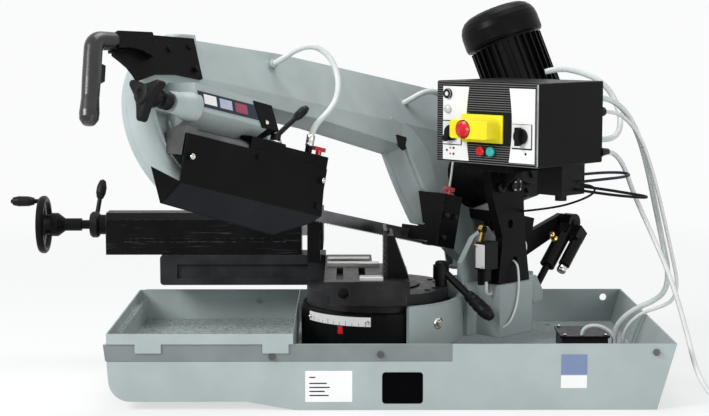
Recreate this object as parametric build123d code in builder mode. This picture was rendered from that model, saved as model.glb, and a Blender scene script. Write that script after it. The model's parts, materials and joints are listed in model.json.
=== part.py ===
"""Metal cutting band saw: a sheet metal base, a vise, a swivel with its control box, and a lifting saw head.

Millimetres, +Z up. The origin is on the mitre axis at the underside of the base. +X runs along the front of
the base to the right and +Y runs away from the front. The saw stands with the head lifted and swung.
"""

import os
from math import acos, cos, degrees, pi, radians, sin, tan

from build123d import *

os.makedirs("parts", exist_ok=True)

# How the saw stands
MITRE = 45.0  # turn of the swivel from the square cut
LIFT = 13.5  # angle of the head above the level cut
LEAN = 22.0  # lean of the wheel plane from upright

# Clearances
FREE = 0.3  # between faces that pass each other
SLIP = 0.05  # between a running shaft and its bore

# Base pan and trays
PAN_FRONT, PAN_BACK = -300.0, 346.0
PAN_LEFT, PAN_RIGHT = -528.0, 541.0
PAN_TOP = 131.0
PAN_STEP = 17.0  # height of the raised left part of the underside
PAN_FLARE = 37.0  # lean of the right end from bottom to top
WALL = 3.0
DECK_Z = 56.0  # top of the tray deck
STAND_X, STAND_Y = 600.0, 520.0  # stand bolt pattern
STAND_CENTRE = (187.0, 23.0)
STAND_HOLE_R = 5.5
CHIP_LEFT = -533.0
CHIP_GAP = 8.0  # between the chip tray and the drum
CHIP_BACK = 214.0
CHIP_TOP = 152.0

# Turntable and vise bed
DRUM_R = 162.0
DRUM_TOP = 164.0
CHIP_RIGHT = -DRUM_R - CHIP_GAP
NECK_R = 88.0
RING_R = 150.0
RING_TOP = 200.0
BED_Z = 203.0
BED_TOP = 232.0
REST_TOP = 240.0
BED_LEFT, BED_RIGHT = -112.0, 62.0
BED_FRONT, BED_BACK = -170.0, 214.0

# Vise
VISE_Y, VISE_Z = 172.0, 306.0
GUIDE_TOP = 243.0
BEAM_LEFT, BEAM_RIGHT = -596.0, -165.0
BEAM_TOP = 335.0
JAW_LEFT, JAW_RIGHT = -150.0, -122.0
SCREW_R = 10.0
HANDWHEEL_R = 64.0
CRANK_AT = HANDWHEEL_R - 12.0  # from the screw's axis to the crank's

# Swivel
PIVOT_X, PIVOT_Z = 300.0, 262.0
PIN_R = 14.0
COLUMN_Y = (-126.0, -77.0)
BOX_X, BOX_Y, BOX_Z = (27.0, 232.0), (-408.0, -145.0), (470.0, 635.0)
CYL_LOW = (318.0, 155.0)  # damper pin on the swivel, x and z
CYL_UP = (455.0, 305.0)  # damper pin on the lifted head, x and z
CYL_Y = -162.0
CYL_ROD_R, CYL_BORE_R = 8.0, 12.0

# Head
BLADE_Z = 247.5  # middle of the blade with the head level
BLADE_W, BLADE_T = 27.0, 0.9
WHEEL_R = 138.0
IDLER_X, DRIVE_X = -500.0, 265.0
BOW_FRONT, BOW_BACK = 45.0, -4.0
COVER_DEEP = 20.0  # depth of the pan that closes the back of the bow
MOTOR_TILT = 20.0  # lean of the motor to the handle end
WORM_OFFSET = 150.0  # from the drive wheel's axis to the motor's
MOTOR_N = 176.0  # motor axis in front of the blade's middle
MOTOR_R = 76.0
BAR_Y, BAR_Z = -58.0, 343.0
BAR_R = 11.0

# Cords
LEAD_D = 10.0
CABLE_D = 12.0
HOSE_D = 12.0

BASE = Location()
SWIVEL = Location((0, 0, 0), (0, 0, MITRE))
HEAD = SWIVEL * Pos(PIVOT_X, 0, PIVOT_Z) * Rot(0, LIFT, 0) * Pos(-PIVOT_X, 0, -PIVOT_Z)
LEAN_COS, LEAN_SIN = cos(radians(LEAN)), sin(radians(LEAN))
# Wheel frame: x along the blade, y (v below) up the leaning wheels, z (n below) to the front
WHEEL_PLANE = Plane(origin=(0, 0, BLADE_Z), x_dir=(1, 0, 0), z_dir=(0, -LEAN_COS, LEAN_SIN))
WHEELS = HEAD * WHEEL_PLANE.location
SWIVEL_X = Axis((0, 0, 0), (cos(radians(MITRE)), sin(radians(MITRE)), 0))


def on(frame, **plane):
    """A plane given in a frame."""
    return Plane(frame * Plane(**plane).location)


def xy(frame, z=0.0):
    """A plane at a height in a frame, drawn on in x and y."""
    return on(frame, origin=(0, 0, z))


def xz(frame, y):
    """An upright plane in a frame, drawn on in x and z; it grows to the front."""
    return on(frame, origin=(0, y, 0), x_dir=(1, 0, 0), z_dir=(0, -1, 0))


def yz(frame, x):
    """An upright plane across a frame, drawn on in y and z; it grows to the right."""
    return on(frame, origin=(x, 0, 0), x_dir=(0, 1, 0), z_dir=(1, 0, 0))


def block(x, y, z, mode=Mode.ADD):
    """A box from its bounds along each axis of the part's own plane."""
    with Locations(((x[0] + x[1]) / 2, (y[0] + y[1]) / 2, (z[0] + z[1]) / 2)):
        Box(x[1] - x[0], y[1] - y[0], z[1] - z[0], mode=mode)


def prism(plane, points, amount, mode=Mode.ADD, corner=0.0):
    """A closed outline drawn on a plane and grown from it."""
    with BuildSketch(plane) as outline:
        with BuildLine():
            Polyline(*points, close=True)
        make_face()
        if corner:
            fillet(outline.vertices(), corner)
    extrude(outline.sketch, amount=amount, mode=mode)


def disc(plane, centres, radius, amount, mode=Mode.ADD):
    """Round bars grown from a plane at one or more centres."""
    with BuildSketch(plane) as outline:
        with Locations(*centres):
            Circle(radius)
    extrude(outline.sketch, amount=amount, mode=mode)


def turned(plane, points, mode=Mode.ADD):
    """An outline of radius and height turned about the plane's own y axis."""
    with BuildSketch(plane) as outline:
        with BuildLine():
            Polyline(*points, close=True)
        make_face()
    revolve(outline.sketch, axis=Axis(plane.origin, plane.y_dir), mode=mode)


def bend_radii(points):
    """Bend radii that leave a straight piece in each run."""
    radii = []
    for before, here, after in zip(points, points[1:], points[2:]):
        come, leave = Vector(here) - Vector(before), Vector(after) - Vector(here)
        cosine = max(-1.0, min(1.0, come.normalized().dot(leave.normalized())))
        turn = acos(cosine)
        radii.append(0.45 * min(come.length, leave.length) / tan(turn / 2))
    return radii


def tube(points, diameter, name):
    """A round cord along straight runs joined by bends."""
    radii = bend_radii(points)
    print(name, "least bend radius", round(min(radii), 1))
    with BuildLine() as path:
        FilletPolyline(*points, radius=radii)
    with BuildSketch(Plane(origin=path.line @ 0, z_dir=path.line % 0)) as section:
        Circle(diameter / 2)
    sweep(section.sketch, path=path.line)


def placed(frame, points):
    """Points of a frame in the frame of the whole saw."""
    return [tuple((frame * Pos(*point)).position) for point in points]


def write(builder, node):
    """Label a finished piece and write its file."""
    builder.part.label = node
    export_step(builder.part, f"parts/{node}.step")


# Base: a folded pan, open at the top


def pan_profile(plane, inset, top):
    """Front outline of the pan, moved in by the wall."""
    lean = PAN_FLARE * top / PAN_TOP
    with BuildSketch(plane) as profile:
        with BuildLine():
            Polyline(
                (PAN_LEFT - 8 * top / PAN_TOP, top),
                (PAN_LEFT, PAN_STEP),
                (-263, PAN_STEP),
                (-167, 0),
                (PAN_RIGHT, 0),
                (PAN_RIGHT + lean, top),
                close=True,
            )
        make_face()
        fillet(profile.vertices().sort_by_distance((PAN_LEFT, PAN_STEP))[0], 42)
        if inset:
            offset(amount=-inset, kind=Kind.INTERSECTION)
    return profile.sketch


with BuildPart(xy(BASE)) as base_pan:
    depth = PAN_BACK - PAN_FRONT
    extrude(pan_profile(xz(BASE, PAN_BACK), 0, PAN_TOP), amount=depth)
    inside = pan_profile(xz(BASE, PAN_BACK - WALL), WALL, PAN_TOP + 20)
    extrude(inside, amount=depth - 2 * WALL, mode=Mode.SUBTRACT)
    stand_x = [STAND_CENTRE[0] + side * STAND_X / 2 for side in (-1, 1)]
    stand_y = [STAND_CENTRE[1] + side * STAND_Y / 2 for side in (-1, 1)]
    stand_holes = [(x, y) for x in stand_x for y in stand_y]
    disc(xy(BASE, -1), stand_holes, STAND_HOLE_R, WALL + 2, Mode.SUBTRACT)
    with BuildSketch(xz(BASE, PAN_FRONT + 2 * WALL)) as window:
        with Locations((43, 43.5)):
            RectangleRounded(80, 63, 7)
    extrude(window.sketch, amount=3 * WALL, mode=Mode.SUBTRACT)
    disc(xz(BASE, PAN_BACK + WALL), [(536, 112)], 8, 3 * WALL, Mode.SUBTRACT)
write(base_pan, "base_pan")

with BuildPart(xy(BASE)) as tray_deck:
    inner_depth = PAN_BACK - PAN_FRONT - 2 * WALL
    extrude(pan_profile(xz(BASE, PAN_BACK - WALL), WALL, PAN_TOP + 20), amount=inner_depth)
    block((-700, 700), (-400, 400), (-10, DECK_Z - WALL), Mode.SUBTRACT)
    block((-700, 700), (-400, 400), (DECK_Z, 400), Mode.SUBTRACT)
    disc(xy(BASE, DECK_Z - 2 * WALL), [(470, 250)], 22, 4 * WALL, Mode.SUBTRACT)
    disc(xy(BASE, DECK_Z - 2 * WALL), [(400, 290)], 6, 4 * WALL, Mode.SUBTRACT)
write(tray_deck, "tray_deck")

with BuildPart(xy(BASE)) as chip_tray:
    front = PAN_FRONT - WALL
    block((CHIP_LEFT, CHIP_RIGHT), (front, CHIP_BACK), (PAN_TOP, CHIP_TOP))
    block((-519, CHIP_RIGHT), (PAN_FRONT + WALL + FREE, CHIP_BACK), (84, PAN_TOP))
    block((-517, CHIP_RIGHT - 2), (PAN_FRONT + 6, CHIP_BACK - 2), (86, CHIP_TOP + 5), Mode.SUBTRACT)
    block((-530, CHIP_RIGHT - 2), (PAN_FRONT + 6, CHIP_BACK - 2), (PAN_TOP + 2, CHIP_TOP + 5), Mode.SUBTRACT)
    block((-530, CHIP_RIGHT - 2), (PAN_FRONT, CHIP_BACK - 2), (PAN_TOP + 2, CHIP_TOP + 5), Mode.SUBTRACT)
    for left in (-478, -230):
        block((left, left + 51), (front, PAN_FRONT), (PAN_TOP - 18, PAN_TOP))
    disc(xz(BASE, CHIP_BACK + 5), [(-262, CHIP_TOP - 26)], 7, 12, Mode.SUBTRACT)
write(chip_tray, "chip_tray")

with BuildPart(xy(BASE)) as base_bolts:
    front_bolts = [(-211, 106), (0, 110), (538, 114)]
    for x, z in front_bolts:
        with BuildSketch(xz(BASE, PAN_FRONT)) as head:
            with Locations((x, z)):
                RegularPolygon(7, 6)
        extrude(head.sketch, amount=5)
write(base_bolts, "base_bolts")

# Work holding on the pedestal

with BuildPart(xy(BASE)) as pedestal:
    disc(xy(BASE, DECK_Z), [(0, 0)], DRUM_R, DRUM_TOP - DECK_Z)
    chamfer(pedestal.faces().sort_by(Axis.Z)[-1].edges(), 4)
    disc(xy(BASE, DRUM_TOP), [(0, 0)], NECK_R, BED_Z - DRUM_TOP)
    disc(xy(BASE, DECK_Z), [(0, 0)], 70, BED_Z - DECK_Z - 20, Mode.SUBTRACT)
write(pedestal, "pedestal")

with BuildPart(xy(BASE)) as vise_bed:
    plan = [
        (BED_LEFT, BED_FRONT),
        (BED_RIGHT, BED_FRONT),
        (BED_RIGHT, 45),
        (40, 74),
        (-10, 86),
        (-10, BED_BACK),
        (BED_LEFT, BED_BACK),
    ]
    prism(xy(BASE, BED_Z), plan, BED_TOP - BED_Z, corner=4)
    block((-100, 56), (BED_FRONT, BED_FRONT + 13), (BED_Z - 20, BED_Z))
    disc(xz(BASE, BED_FRONT + 20), [(-72, 208)], 11, 40, Mode.SUBTRACT)
    for slot_x in (-80, -34):
        block((slot_x - 7, slot_x + 7), (-140, 20), (BED_TOP - 12, BED_TOP + 1), Mode.SUBTRACT)
write(vise_bed, "vise_bed")

with BuildPart(xy(BASE)) as rest_strips:
    for x, y in (((-40, 8), (-162, -134)), ((-108, 4), (34, 58)), ((-108, -16), (100, 128))):
        block(x, y, (BED_TOP, REST_TOP))
    chamfer(rest_strips.edges().group_by(Axis.Z)[-1], 1)
write(rest_strips, "rest_strips")

FIXED_FACE = 10.0
with BuildPart(xy(BASE)) as fixed_jaw:
    side = [(FIXED_FACE + 7, BED_TOP), (BED_RIGHT, BED_TOP), (30, 320), (FIXED_FACE + 7, 320)]
    prism(xz(BASE, -14), side, 111)
    pocket = [(26, 246), (46, 246), (32, 300), (26, 300)]
    for y in (-24, -74):
        prism(xz(BASE, y), pocket, 41, Mode.SUBTRACT)
write(fixed_jaw, "fixed_jaw")

with BuildPart(xy(BASE)) as fixed_jaw_plate:
    block((FIXED_FACE, FIXED_FACE + 7), (-125, -14), (BED_TOP, 330))
    for rib in range(8):
        z = 244 + 11 * rib
        block((FIXED_FACE - 1, FIXED_FACE + 2), (-130, -8), (z, z + 4), Mode.SUBTRACT)
    disc(yz(BASE, FIXED_FACE + 7), [(-70, 324)], 4, 6)
write(fixed_jaw_plate, "fixed_jaw_plate")

RAIL_Y = 16.0  # half width of the rail that the vise beam slides on
RAIL_H = 8.0
with BuildPart(xy(BASE)) as vise_guide:
    block((-477, BED_LEFT), (VISE_Y - 40, VISE_Y + 40), (176, GUIDE_TOP))
    fillet(vise_guide.edges().filter_by(Axis.Y).group_by(Axis.X)[0], 8)
    block((-470, -250), (VISE_Y - RAIL_Y, VISE_Y + RAIL_Y), (GUIDE_TOP, GUIDE_TOP + RAIL_H))
    block((-440, -150), (VISE_Y - 45, VISE_Y - 34), (190, 222), Mode.SUBTRACT)
write(vise_guide, "vise_guide")

RAM_HALF = 22.0
beam_bottom = GUIDE_TOP + FREE
with BuildPart(xy(BASE)) as vise_beam:
    front_side = [
        (VISE_Y - 38, beam_bottom),
        (VISE_Y + 38, beam_bottom),
        (VISE_Y + 38, BEAM_TOP - 14),
        (VISE_Y + 24, BEAM_TOP),
        (VISE_Y - 24, BEAM_TOP),
        (VISE_Y - 38, BEAM_TOP - 14),
    ]
    prism(yz(BASE, BEAM_LEFT), front_side, BEAM_RIGHT - BEAM_LEFT)
    gap_y = RAIL_Y + FREE
    block(
        (BEAM_LEFT - 5, BEAM_RIGHT + 5),
        (VISE_Y - gap_y, VISE_Y + gap_y),
        (beam_bottom - 1, GUIDE_TOP + RAIL_H + FREE),
        Mode.SUBTRACT,
    )
    ram_gap = RAM_HALF + FREE
    block(
        (-470, BEAM_RIGHT + 5),
        (VISE_Y - ram_gap, VISE_Y + ram_gap),
        (VISE_Z - ram_gap, VISE_Z + ram_gap),
        Mode.SUBTRACT,
    )
    block((-560, -200), (VISE_Y - 40, VISE_Y - 36), (272, 279), Mode.SUBTRACT)
    disc(yz(BASE, BEAM_LEFT - 17), [(VISE_Y, VISE_Z)], 22, 17)
    disc(yz(BASE, -650), [(VISE_Y, VISE_Z)], SCREW_R + SLIP, 200, Mode.SUBTRACT)
write(vise_beam, "vise_beam")

with BuildPart(xy(BASE)) as vise_ram:
    block(
        (-330, JAW_LEFT),
        (VISE_Y - RAM_HALF, VISE_Y + RAM_HALF),
        (VISE_Z - RAM_HALF, VISE_Z + RAM_HALF),
    )
    disc(yz(BASE, -331), [(VISE_Y, VISE_Z)], SCREW_R + SLIP, 130, Mode.SUBTRACT)
write(vise_ram, "vise_ram")

with BuildPart(xy(BASE)) as moving_jaw:
    block((JAW_LEFT, JAW_RIGHT), (32, 200), (264, 352))
    block((JAW_LEFT, JAW_RIGHT), (32, 126), (REST_TOP + 1, 264))
    fillet(moving_jaw.edges().filter_by(Axis.X).group_by(Axis.Z)[-1], 10)
    block((JAW_RIGHT, JAW_RIGHT + 6), (34, 198), (268, 346))
    for rib in range(6):
        y = 46 + 25 * rib
        block((JAW_RIGHT + 4, JAW_RIGHT + 7), (y, y + 5), (260, 350), Mode.SUBTRACT)
write(moving_jaw, "moving_jaw")

WHEEL_LEFT = -746.0
with BuildPart(xy(BASE)) as handwheel:
    hub_plane = on(BASE, origin=(WHEEL_LEFT, VISE_Y, VISE_Z), x_dir=(0, 1, 0), z_dir=(0, 0, -1))
    rim = [
        (HANDWHEEL_R - 14, 4),
        (HANDWHEEL_R - 10, 0),
        (HANDWHEEL_R - 3, 0),
        (HANDWHEEL_R, 5),
        (HANDWHEEL_R, 12),
        (HANDWHEEL_R - 4, 16),
        (HANDWHEEL_R - 11, 16),
        (HANDWHEEL_R - 14, 12),
    ]
    turned(hub_plane, rim)
    hub = [(0, 4), (16, 4), (26, 26), (26, 40), (14, 56), (14, 92), (0, 92)]
    turned(hub_plane, hub)
    for spoke in range(3):
        spin = Rot(120 * spoke + 20, 0, 0)
        with Locations(Pos(WHEEL_LEFT + 10, VISE_Y, VISE_Z) * spin * Pos(0, 0, HANDWHEEL_R / 2)):
            Box(10, 16, HANDWHEEL_R - 14)
    disc(yz(BASE, WHEEL_LEFT + 90), [(VISE_Y, VISE_Z)], SCREW_R, 360)
    disc(yz(BASE, WHEEL_LEFT - 12), [(VISE_Y, VISE_Z + CRANK_AT)], 5, 16)
    disc(yz(BASE, WHEEL_LEFT - 64), [(VISE_Y, VISE_Z + CRANK_AT)], 4, 56)
write(handwheel, "handwheel")

with BuildPart(xy(BASE)) as crank_grip:
    grip_plane = on(
        BASE,
        origin=(WHEEL_LEFT - 12.5, VISE_Y, VISE_Z + CRANK_AT), x_dir=(0, 1, 0), z_dir=(0, 0, 1)
    )
    grip = [(4 + SLIP, 0), (8, 0), (11, 12), (11.5, 34), (9, 46), (4 + SLIP, 50)]
    turned(grip_plane, grip)
write(crank_grip, "crank_grip")

LOCK_LEFT = -634.0
with BuildPart(xy(BASE)) as vise_lock_lever:
    lever_plane = on(BASE, origin=(LOCK_LEFT, VISE_Y, VISE_Z), x_dir=(0, 1, 0), z_dir=(0, 0, -1))
    ring = [(SCREW_R + SLIP, 0), (25, 0), (29, 5), (29, 16), (25, 20), (SCREW_R + SLIP, 20)]
    turned(lever_plane, ring)
    lean = BASE * Pos(LOCK_LEFT + 10, VISE_Y, VISE_Z) * Rot(-18, 8, 0)
    disc(xy(lean, 24), [(0, 0)], 5, 44)
    egg = [(0, 60), (7, 60), (11, 72), (11, 86), (7, 100), (0, 104)]
    turned(on(lean, origin=(0, 0, 0), x_dir=(1, 0, 0), z_dir=(0, -1, 0)), egg)
write(vise_lock_lever, "vise_lock_lever")

# Swivel: ring, arm, column and control box

with BuildPart(xy(SWIVEL)) as turntable_ring:
    disc(xy(SWIVEL, DRUM_TOP + FREE), [(0, 0)], RING_R, RING_TOP - DRUM_TOP - FREE)
    disc(xy(SWIVEL, 0), [(0, 0)], NECK_R + FREE, 400, Mode.SUBTRACT)
    chamfer(turntable_ring.edges().filter_by(GeomType.CIRCLE).group_by(Axis.Z)[-1][-1:], 3)
    bolts = [(128 * cos(radians(a)), 128 * sin(radians(a))) for a in (-82, -68, -32, -18)]
    disc(xy(SWIVEL, RING_TOP), bolts, 6, 2)
write(turntable_ring, "turntable_ring")

SKIRT_LOW, SKIRT_TOP = 92.0, 180.0
SKIRT_R = DRUM_R + 6.0
with BuildPart(xy(SWIVEL)) as swivel_arm:
    front_edge = [(118, -150), (148, -150), (148, -214), (258, -214), (258, -186)]
    back_edge = [(350, -76), (215, -76), (170, -40), (110, -40)]
    arm = front_edge + [(300, -186), (300, -142), (350, -142)] + back_edge
    prism(xy(SWIVEL, DRUM_TOP + 4), arm, 36)
    foot = front_edge + [(258, -76), (215, -76), (170, -40), (110, -40)]
    prism(xy(SWIVEL, SKIRT_LOW), foot, DRUM_TOP + 4 - SKIRT_LOW)
    with BuildSketch(xy(SWIVEL, SKIRT_LOW)) as skirt:
        Circle(SKIRT_R + 14)
        Circle(SKIRT_R, mode=Mode.SUBTRACT)
        with BuildLine():
            Polyline((0, 0), (-130, -270), (270, -270), (270, -110), close=True)
        make_face(mode=Mode.INTERSECT)
    extrude(skirt.sketch, amount=SKIRT_TOP - SKIRT_LOW)
    disc(xy(SWIVEL, 0), [(0, 0)], RING_R, 400, Mode.SUBTRACT)
    disc(xy(SWIVEL, 0), [(0, 0)], SKIRT_R, DRUM_TOP + 4, Mode.SUBTRACT)
    column = [(252, 200), (348, 200), (334, PIVOT_Z), (266, PIVOT_Z)]
    thick = COLUMN_Y[1] - COLUMN_Y[0]
    prism(xz(SWIVEL, COLUMN_Y[1]), column, thick)
    disc(xz(SWIVEL, COLUMN_Y[1]), [(PIVOT_X, PIVOT_Z)], 34, thick)
    rib = [(176, 202), (262, 202), (262, 246)]
    prism(xz(SWIVEL, -92), rib, 16)
    web = [(112, 200), (112, 248), (150, 298), (196, 318), (226, 290), (252, 200)]
    prism(xz(SWIVEL, -126), web, 14)
    lug = [(290, 168), (290, 204), (312, 204), (336, 168), (336, 146), (304, 143)]
    for y in (CYL_Y - 11, CYL_Y + 19):
        prism(xz(SWIVEL, y), lug, 8)
    disc(xz(SWIVEL, CYL_Y + 19), [CYL_LOW], 7, 38)
    disc(xz(SWIVEL, COLUMN_Y[1] + 5), [(PIVOT_X, PIVOT_Z)], PIN_R + SLIP, thick + 10, Mode.SUBTRACT)
write(swivel_arm, "swivel_arm")

LOCK_HUB = (80.0, -109.0)
with BuildPart(xy(SWIVEL)) as mitre_lock_lever:
    disc(xy(SWIVEL, RING_TOP + FREE), [LOCK_HUB], 13, 52)
    disc(xy(SWIVEL, RING_TOP + 14), [LOCK_HUB], 17, 30)
    chamfer(mitre_lock_lever.edges().filter_by(GeomType.CIRCLE).group_by(Axis.Z)[-1], 3)
    reach = SWIVEL * Pos(LOCK_HUB[0], LOCK_HUB[1], RING_TOP + 36) * Rot(0, 0, -82) * Rot(0, 126, 0)
    disc(xy(reach, 10), [(0, 0)], 8, 80)
    grip = [(0, 84), (11, 84), (13, 92), (12, 96), (14, 102), (13, 108), (15, 116), (14, 124), (15, 134),
            (13, 146), (9, 156), (0, 160)]
    turned(on(reach, origin=(0, 0, 0), x_dir=(1, 0, 0), z_dir=(0, -1, 0)), grip)
write(mitre_lock_lever, "mitre_lock_lever")

with BuildPart(xy(SWIVEL)) as pivot_shaft:
    disc(xz(SWIVEL, -61), [(PIVOT_X, PIVOT_Z)], PIN_R, 81)
    disc(xz(SWIVEL, -141.5), [(PIVOT_X, PIVOT_Z)], 20, 7)
write(pivot_shaft, "pivot_shaft")

POST_Y = (-206.0, -186.0)
with BuildPart(xy(SWIVEL)) as box_bracket:
    post = [(152, 204), (256, 204), (240, 300), (228, 452), (120, 452), (132, 392), (166, 300)]
    prism(xz(SWIVEL, POST_Y[1]), post, POST_Y[1] - POST_Y[0])
    block((60, 226), (-300, POST_Y[1]), (452, BOX_Z[0]))
    disc(xz(SWIVEL, POST_Y[1] + 2), [(206, 250), (190, 330)], 9, 40, Mode.SUBTRACT)
    disc(xz(SWIVEL, POST_Y[0]), [(150, 425), (200, 425)], 8, 5)
    gusset = [(-206, 400), (-206, 452), (-270, 452)]
    prism(yz(SWIVEL, 150), gusset, 10)
write(box_bracket, "box_bracket")

BOX_WALL = 2.5
PANEL_T = 3.0
with BuildPart(xy(SWIVEL)) as control_box:
    block(BOX_X, BOX_Y, BOX_Z)
    fillet(control_box.edges().filter_by(SWIVEL_X), 4)
    block(
        (BOX_X[0] - 1, BOX_X[1] - BOX_WALL),
        (BOX_Y[0] + BOX_WALL, BOX_Y[1] - BOX_WALL),
        (BOX_Z[0] + BOX_WALL, BOX_Z[1] - BOX_WALL),
        Mode.SUBTRACT,
    )
write(control_box, "control_box")


def panel_point(u, z):
    """A place on the panel: u runs from its left edge as the operator sees it."""
    return (BOX_Y[1] - u, z)


PANEL_X = BOX_X[0] - PANEL_T
STOP_U, STOP_Z = 102.0, 541.0
RED_U, GREEN_U, BUTTON_Z = 121.0, 147.0, 497.0
MAIN_U, MAIN_Z = 42.0, 530.0
SPEED_U, SPEED_Z = 222.0, 531.0
with BuildPart(xy(SWIVEL)) as control_panel:
    block((PANEL_X, BOX_X[0]), (BOX_Y[0] + 1, BOX_Y[1] - 1), (BOX_Z[0] + 1, BOX_Z[1] - 1))
    shafts = [(STOP_U, STOP_Z), (RED_U, BUTTON_Z), (GREEN_U, BUTTON_Z), (MAIN_U, MAIN_Z), (SPEED_U, SPEED_Z)]
    places = [panel_point(u, z) for u, z in shafts]
    disc(yz(SWIVEL, PANEL_X - 5), places, 6 + FREE, 20, Mode.SUBTRACT)
write(control_panel, "control_panel")

with BuildPart(xy(SWIVEL)) as estop_housing:
    y_mid = BOX_Y[1] - 120
    block((PANEL_X - 4, PANEL_X), (y_mid - 56, y_mid + 50), (514, 570))
    with BuildSketch(yz(SWIVEL, PANEL_X - 4)) as shell:
        with Locations((y_mid + 4, STOP_Z)):
            RectangleRounded(104, 44, 10)
    extrude(shell.sketch, amount=-34, taper=6)
    stop_at = panel_point(STOP_U, STOP_Z)
    disc(yz(SWIVEL, PANEL_X - 50), [stop_at], 6 + FREE, 60, Mode.SUBTRACT)
    disc(yz(SWIVEL, PANEL_X - 50), [stop_at], 19, 34, Mode.SUBTRACT)
write(estop_housing, "estop_housing")

with BuildPart(xy(SWIVEL)) as estop_button:
    cap_plane = on(
        SWIVEL,
        origin=(PANEL_X - 24, stop_at[0], stop_at[1]), x_dir=(0, 1, 0), z_dir=(0, 0, 1)
    )
    cap = [(0, -32), (6, -32), (6, 0), (14, 2), (17, 6), (17, 14), (13, 20), (0, 22)]
    turned(cap_plane, cap)
write(estop_button, "estop_button")

for name, u in (("stop_button", RED_U), ("start_button", GREEN_U)):
    with BuildPart(xy(SWIVEL)) as push_button:
        push_plane = on(
            SWIVEL,
            origin=(PANEL_X - 3, BOX_Y[1] - u, BUTTON_Z), x_dir=(0, 1, 0), z_dir=(0, 0, 1)
        )
        turned(push_plane, [(0, -12), (6, -12), (6, 0), (9.5, 0), (9.5, 5), (8, 7), (0, 7)])
    write(push_button, name)

with BuildPart(xy(SWIVEL)) as switch_plates:
    for u, z in ((MAIN_U, MAIN_Z), (SPEED_U, SPEED_Z)):
        y = BOX_Y[1] - u
        block((PANEL_X - 2, PANEL_X), (y - 24, y + 24), (z - 23, z + 23))
        disc(yz(SWIVEL, PANEL_X - 5), [(y, z)], 6 + FREE, 8, Mode.SUBTRACT)
    lamp = BOX_Y[1] - 31
    disc(yz(SWIVEL, PANEL_X - 6), [(lamp, 609)], 10, 6)
    disc(yz(SWIVEL, PANEL_X - 5), [(lamp, 578)], 8, 5)
write(switch_plates, "switch_plates")

for name, u, z, turn in (("main_switch", MAIN_U, MAIN_Z, 35), ("speed_switch", SPEED_U, SPEED_Z, 0)):
    with BuildPart(xy(SWIVEL)) as rotary:
        y = BOX_Y[1] - u
        disc(yz(SWIVEL, PANEL_X - 2 - FREE), [(y, z)], 6, 14)
        disc(yz(SWIVEL, PANEL_X - 8), [(y, z)], 16, 8 - 2 - FREE)
        with Locations(Pos(PANEL_X - 13, y, z) * Rot(turn, 0, 0)):
            Box(11, 9, 36)
    write(rotary, name)

with BuildPart(xy(SWIVEL)) as junction_box:
    block((150, 226), (-372, -306), (404, BOX_Z[0]))
    fillet(junction_box.edges().filter_by(Axis.Z), 4)
    disc(xy(SWIVEL, 390), [(188, -339)], 12, 14)
write(junction_box, "junction_box")

with BuildPart(xy(SWIVEL)) as limit_switch:
    block((112, 152), (-204, -176), (238, 296))
    block((120, 180), (-186, -176), (204, 238))
    disc(xy(SWIVEL, 214), [(126, -195)], 9, 24)
    disc(xz(SWIVEL, -176), [(140, 284)], 5, -20)
write(limit_switch, "limit_switch")

with BuildPart(xy(SWIVEL)) as limit_lever:
    lever = [(133, 280), (147, 280), (154, 318), (146, 320)]
    prism(xz(SWIVEL, -163), lever, 5)
    disc(xz(SWIVEL, -158), [(150, 318)], 9, 10)
    disc(xz(SWIVEL, -156), [(140, 284)], 9, 12)
    disc(xz(SWIVEL, -150), [(140, 284)], 5 + SLIP, 30, Mode.SUBTRACT)
write(limit_lever, "limit_lever")

# Damper between the swivel and the head

DAMPER = Vector(CYL_UP[0] - CYL_LOW[0], CYL_UP[1] - CYL_LOW[1])
DAMPER_TILT = degrees(acos(DAMPER.X / DAMPER.length))
damper_low = SWIVEL * Pos(CYL_LOW[0], CYL_Y, CYL_LOW[1]) * Rot(0, 90 - DAMPER_TILT, 0)
damper_up = SWIVEL * Pos(CYL_UP[0], CYL_Y, CYL_UP[1]) * Rot(0, 90 - DAMPER_TILT, 0)
with BuildPart(xy(damper_low)) as cylinder_rod:
    disc(xz(damper_low, 10), [(0, 0)], 14, 20)
    disc(xy(damper_low, 0), [(0, 0)], CYL_ROD_R, 122)
    disc(xz(damper_low, 20), [(0, 0)], 7 + SLIP, 40, Mode.SUBTRACT)
write(cylinder_rod, "cylinder_rod")

with BuildPart(xy(damper_up)) as cylinder_barrel:
    disc(xy(damper_up, -120), [(0, 0)], 17, 106)
    disc(xy(damper_up, -122), [(0, 0)], CYL_BORE_R, 86, Mode.SUBTRACT)
    disc(xz(damper_up, 12), [(0, 0)], 21, 26)
    block((-17, 17), (-14, 12), (-34, 0))
    tank = (15, -30)
    disc(xy(damper_up, -104), [tank], 13, 74)
    disc(xy(damper_up, -112), [tank], 10, 8)
    block((-6, 24), (-40, -8), (-38, -8))
    disc(xz(damper_up, 30), [(0, 0)], 8 + SLIP, 60, Mode.SUBTRACT)
write(cylinder_barrel, "cylinder_barrel")

# Saw head: the bow casting and what it carries

WHEEL_V = WHEEL_R  # height of both wheel centres in the wheel frame
TOP_V = 2 * WHEEL_R
CAVITY_FRONT = 20.0  # depth of the wheel cavities from the blade's middle
CAVITY_R = WHEEL_R + 6
RIM_CENTRE, RIM_R = (IDLER_X + 14, WHEEL_V + 2), WHEEL_R + 44  # outer round of the idler part
RIM_ROUND = 16.0
TENSION_TRAVEL = 8.0
TENSION_V, TENSION_FRONT = WHEEL_V - 22, 97.0
SLIDE_HALF = 24.0  # half width of the tension slide
HOUSING_TOP = 118.0
HOSE_BOSS, HOSE_BOSS_N = (-303.0, 297.0), 30.0  # where the coolant hose leaves the bow
SLOT_TOP = 276.0  # top of the notch that the right guide stands in


def around(centre, radius, angle):
    """A point on a circle, at an angle in degrees."""
    return (centre[0] + radius * cos(radians(angle)), centre[1] + radius * sin(radians(angle)))


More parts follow.
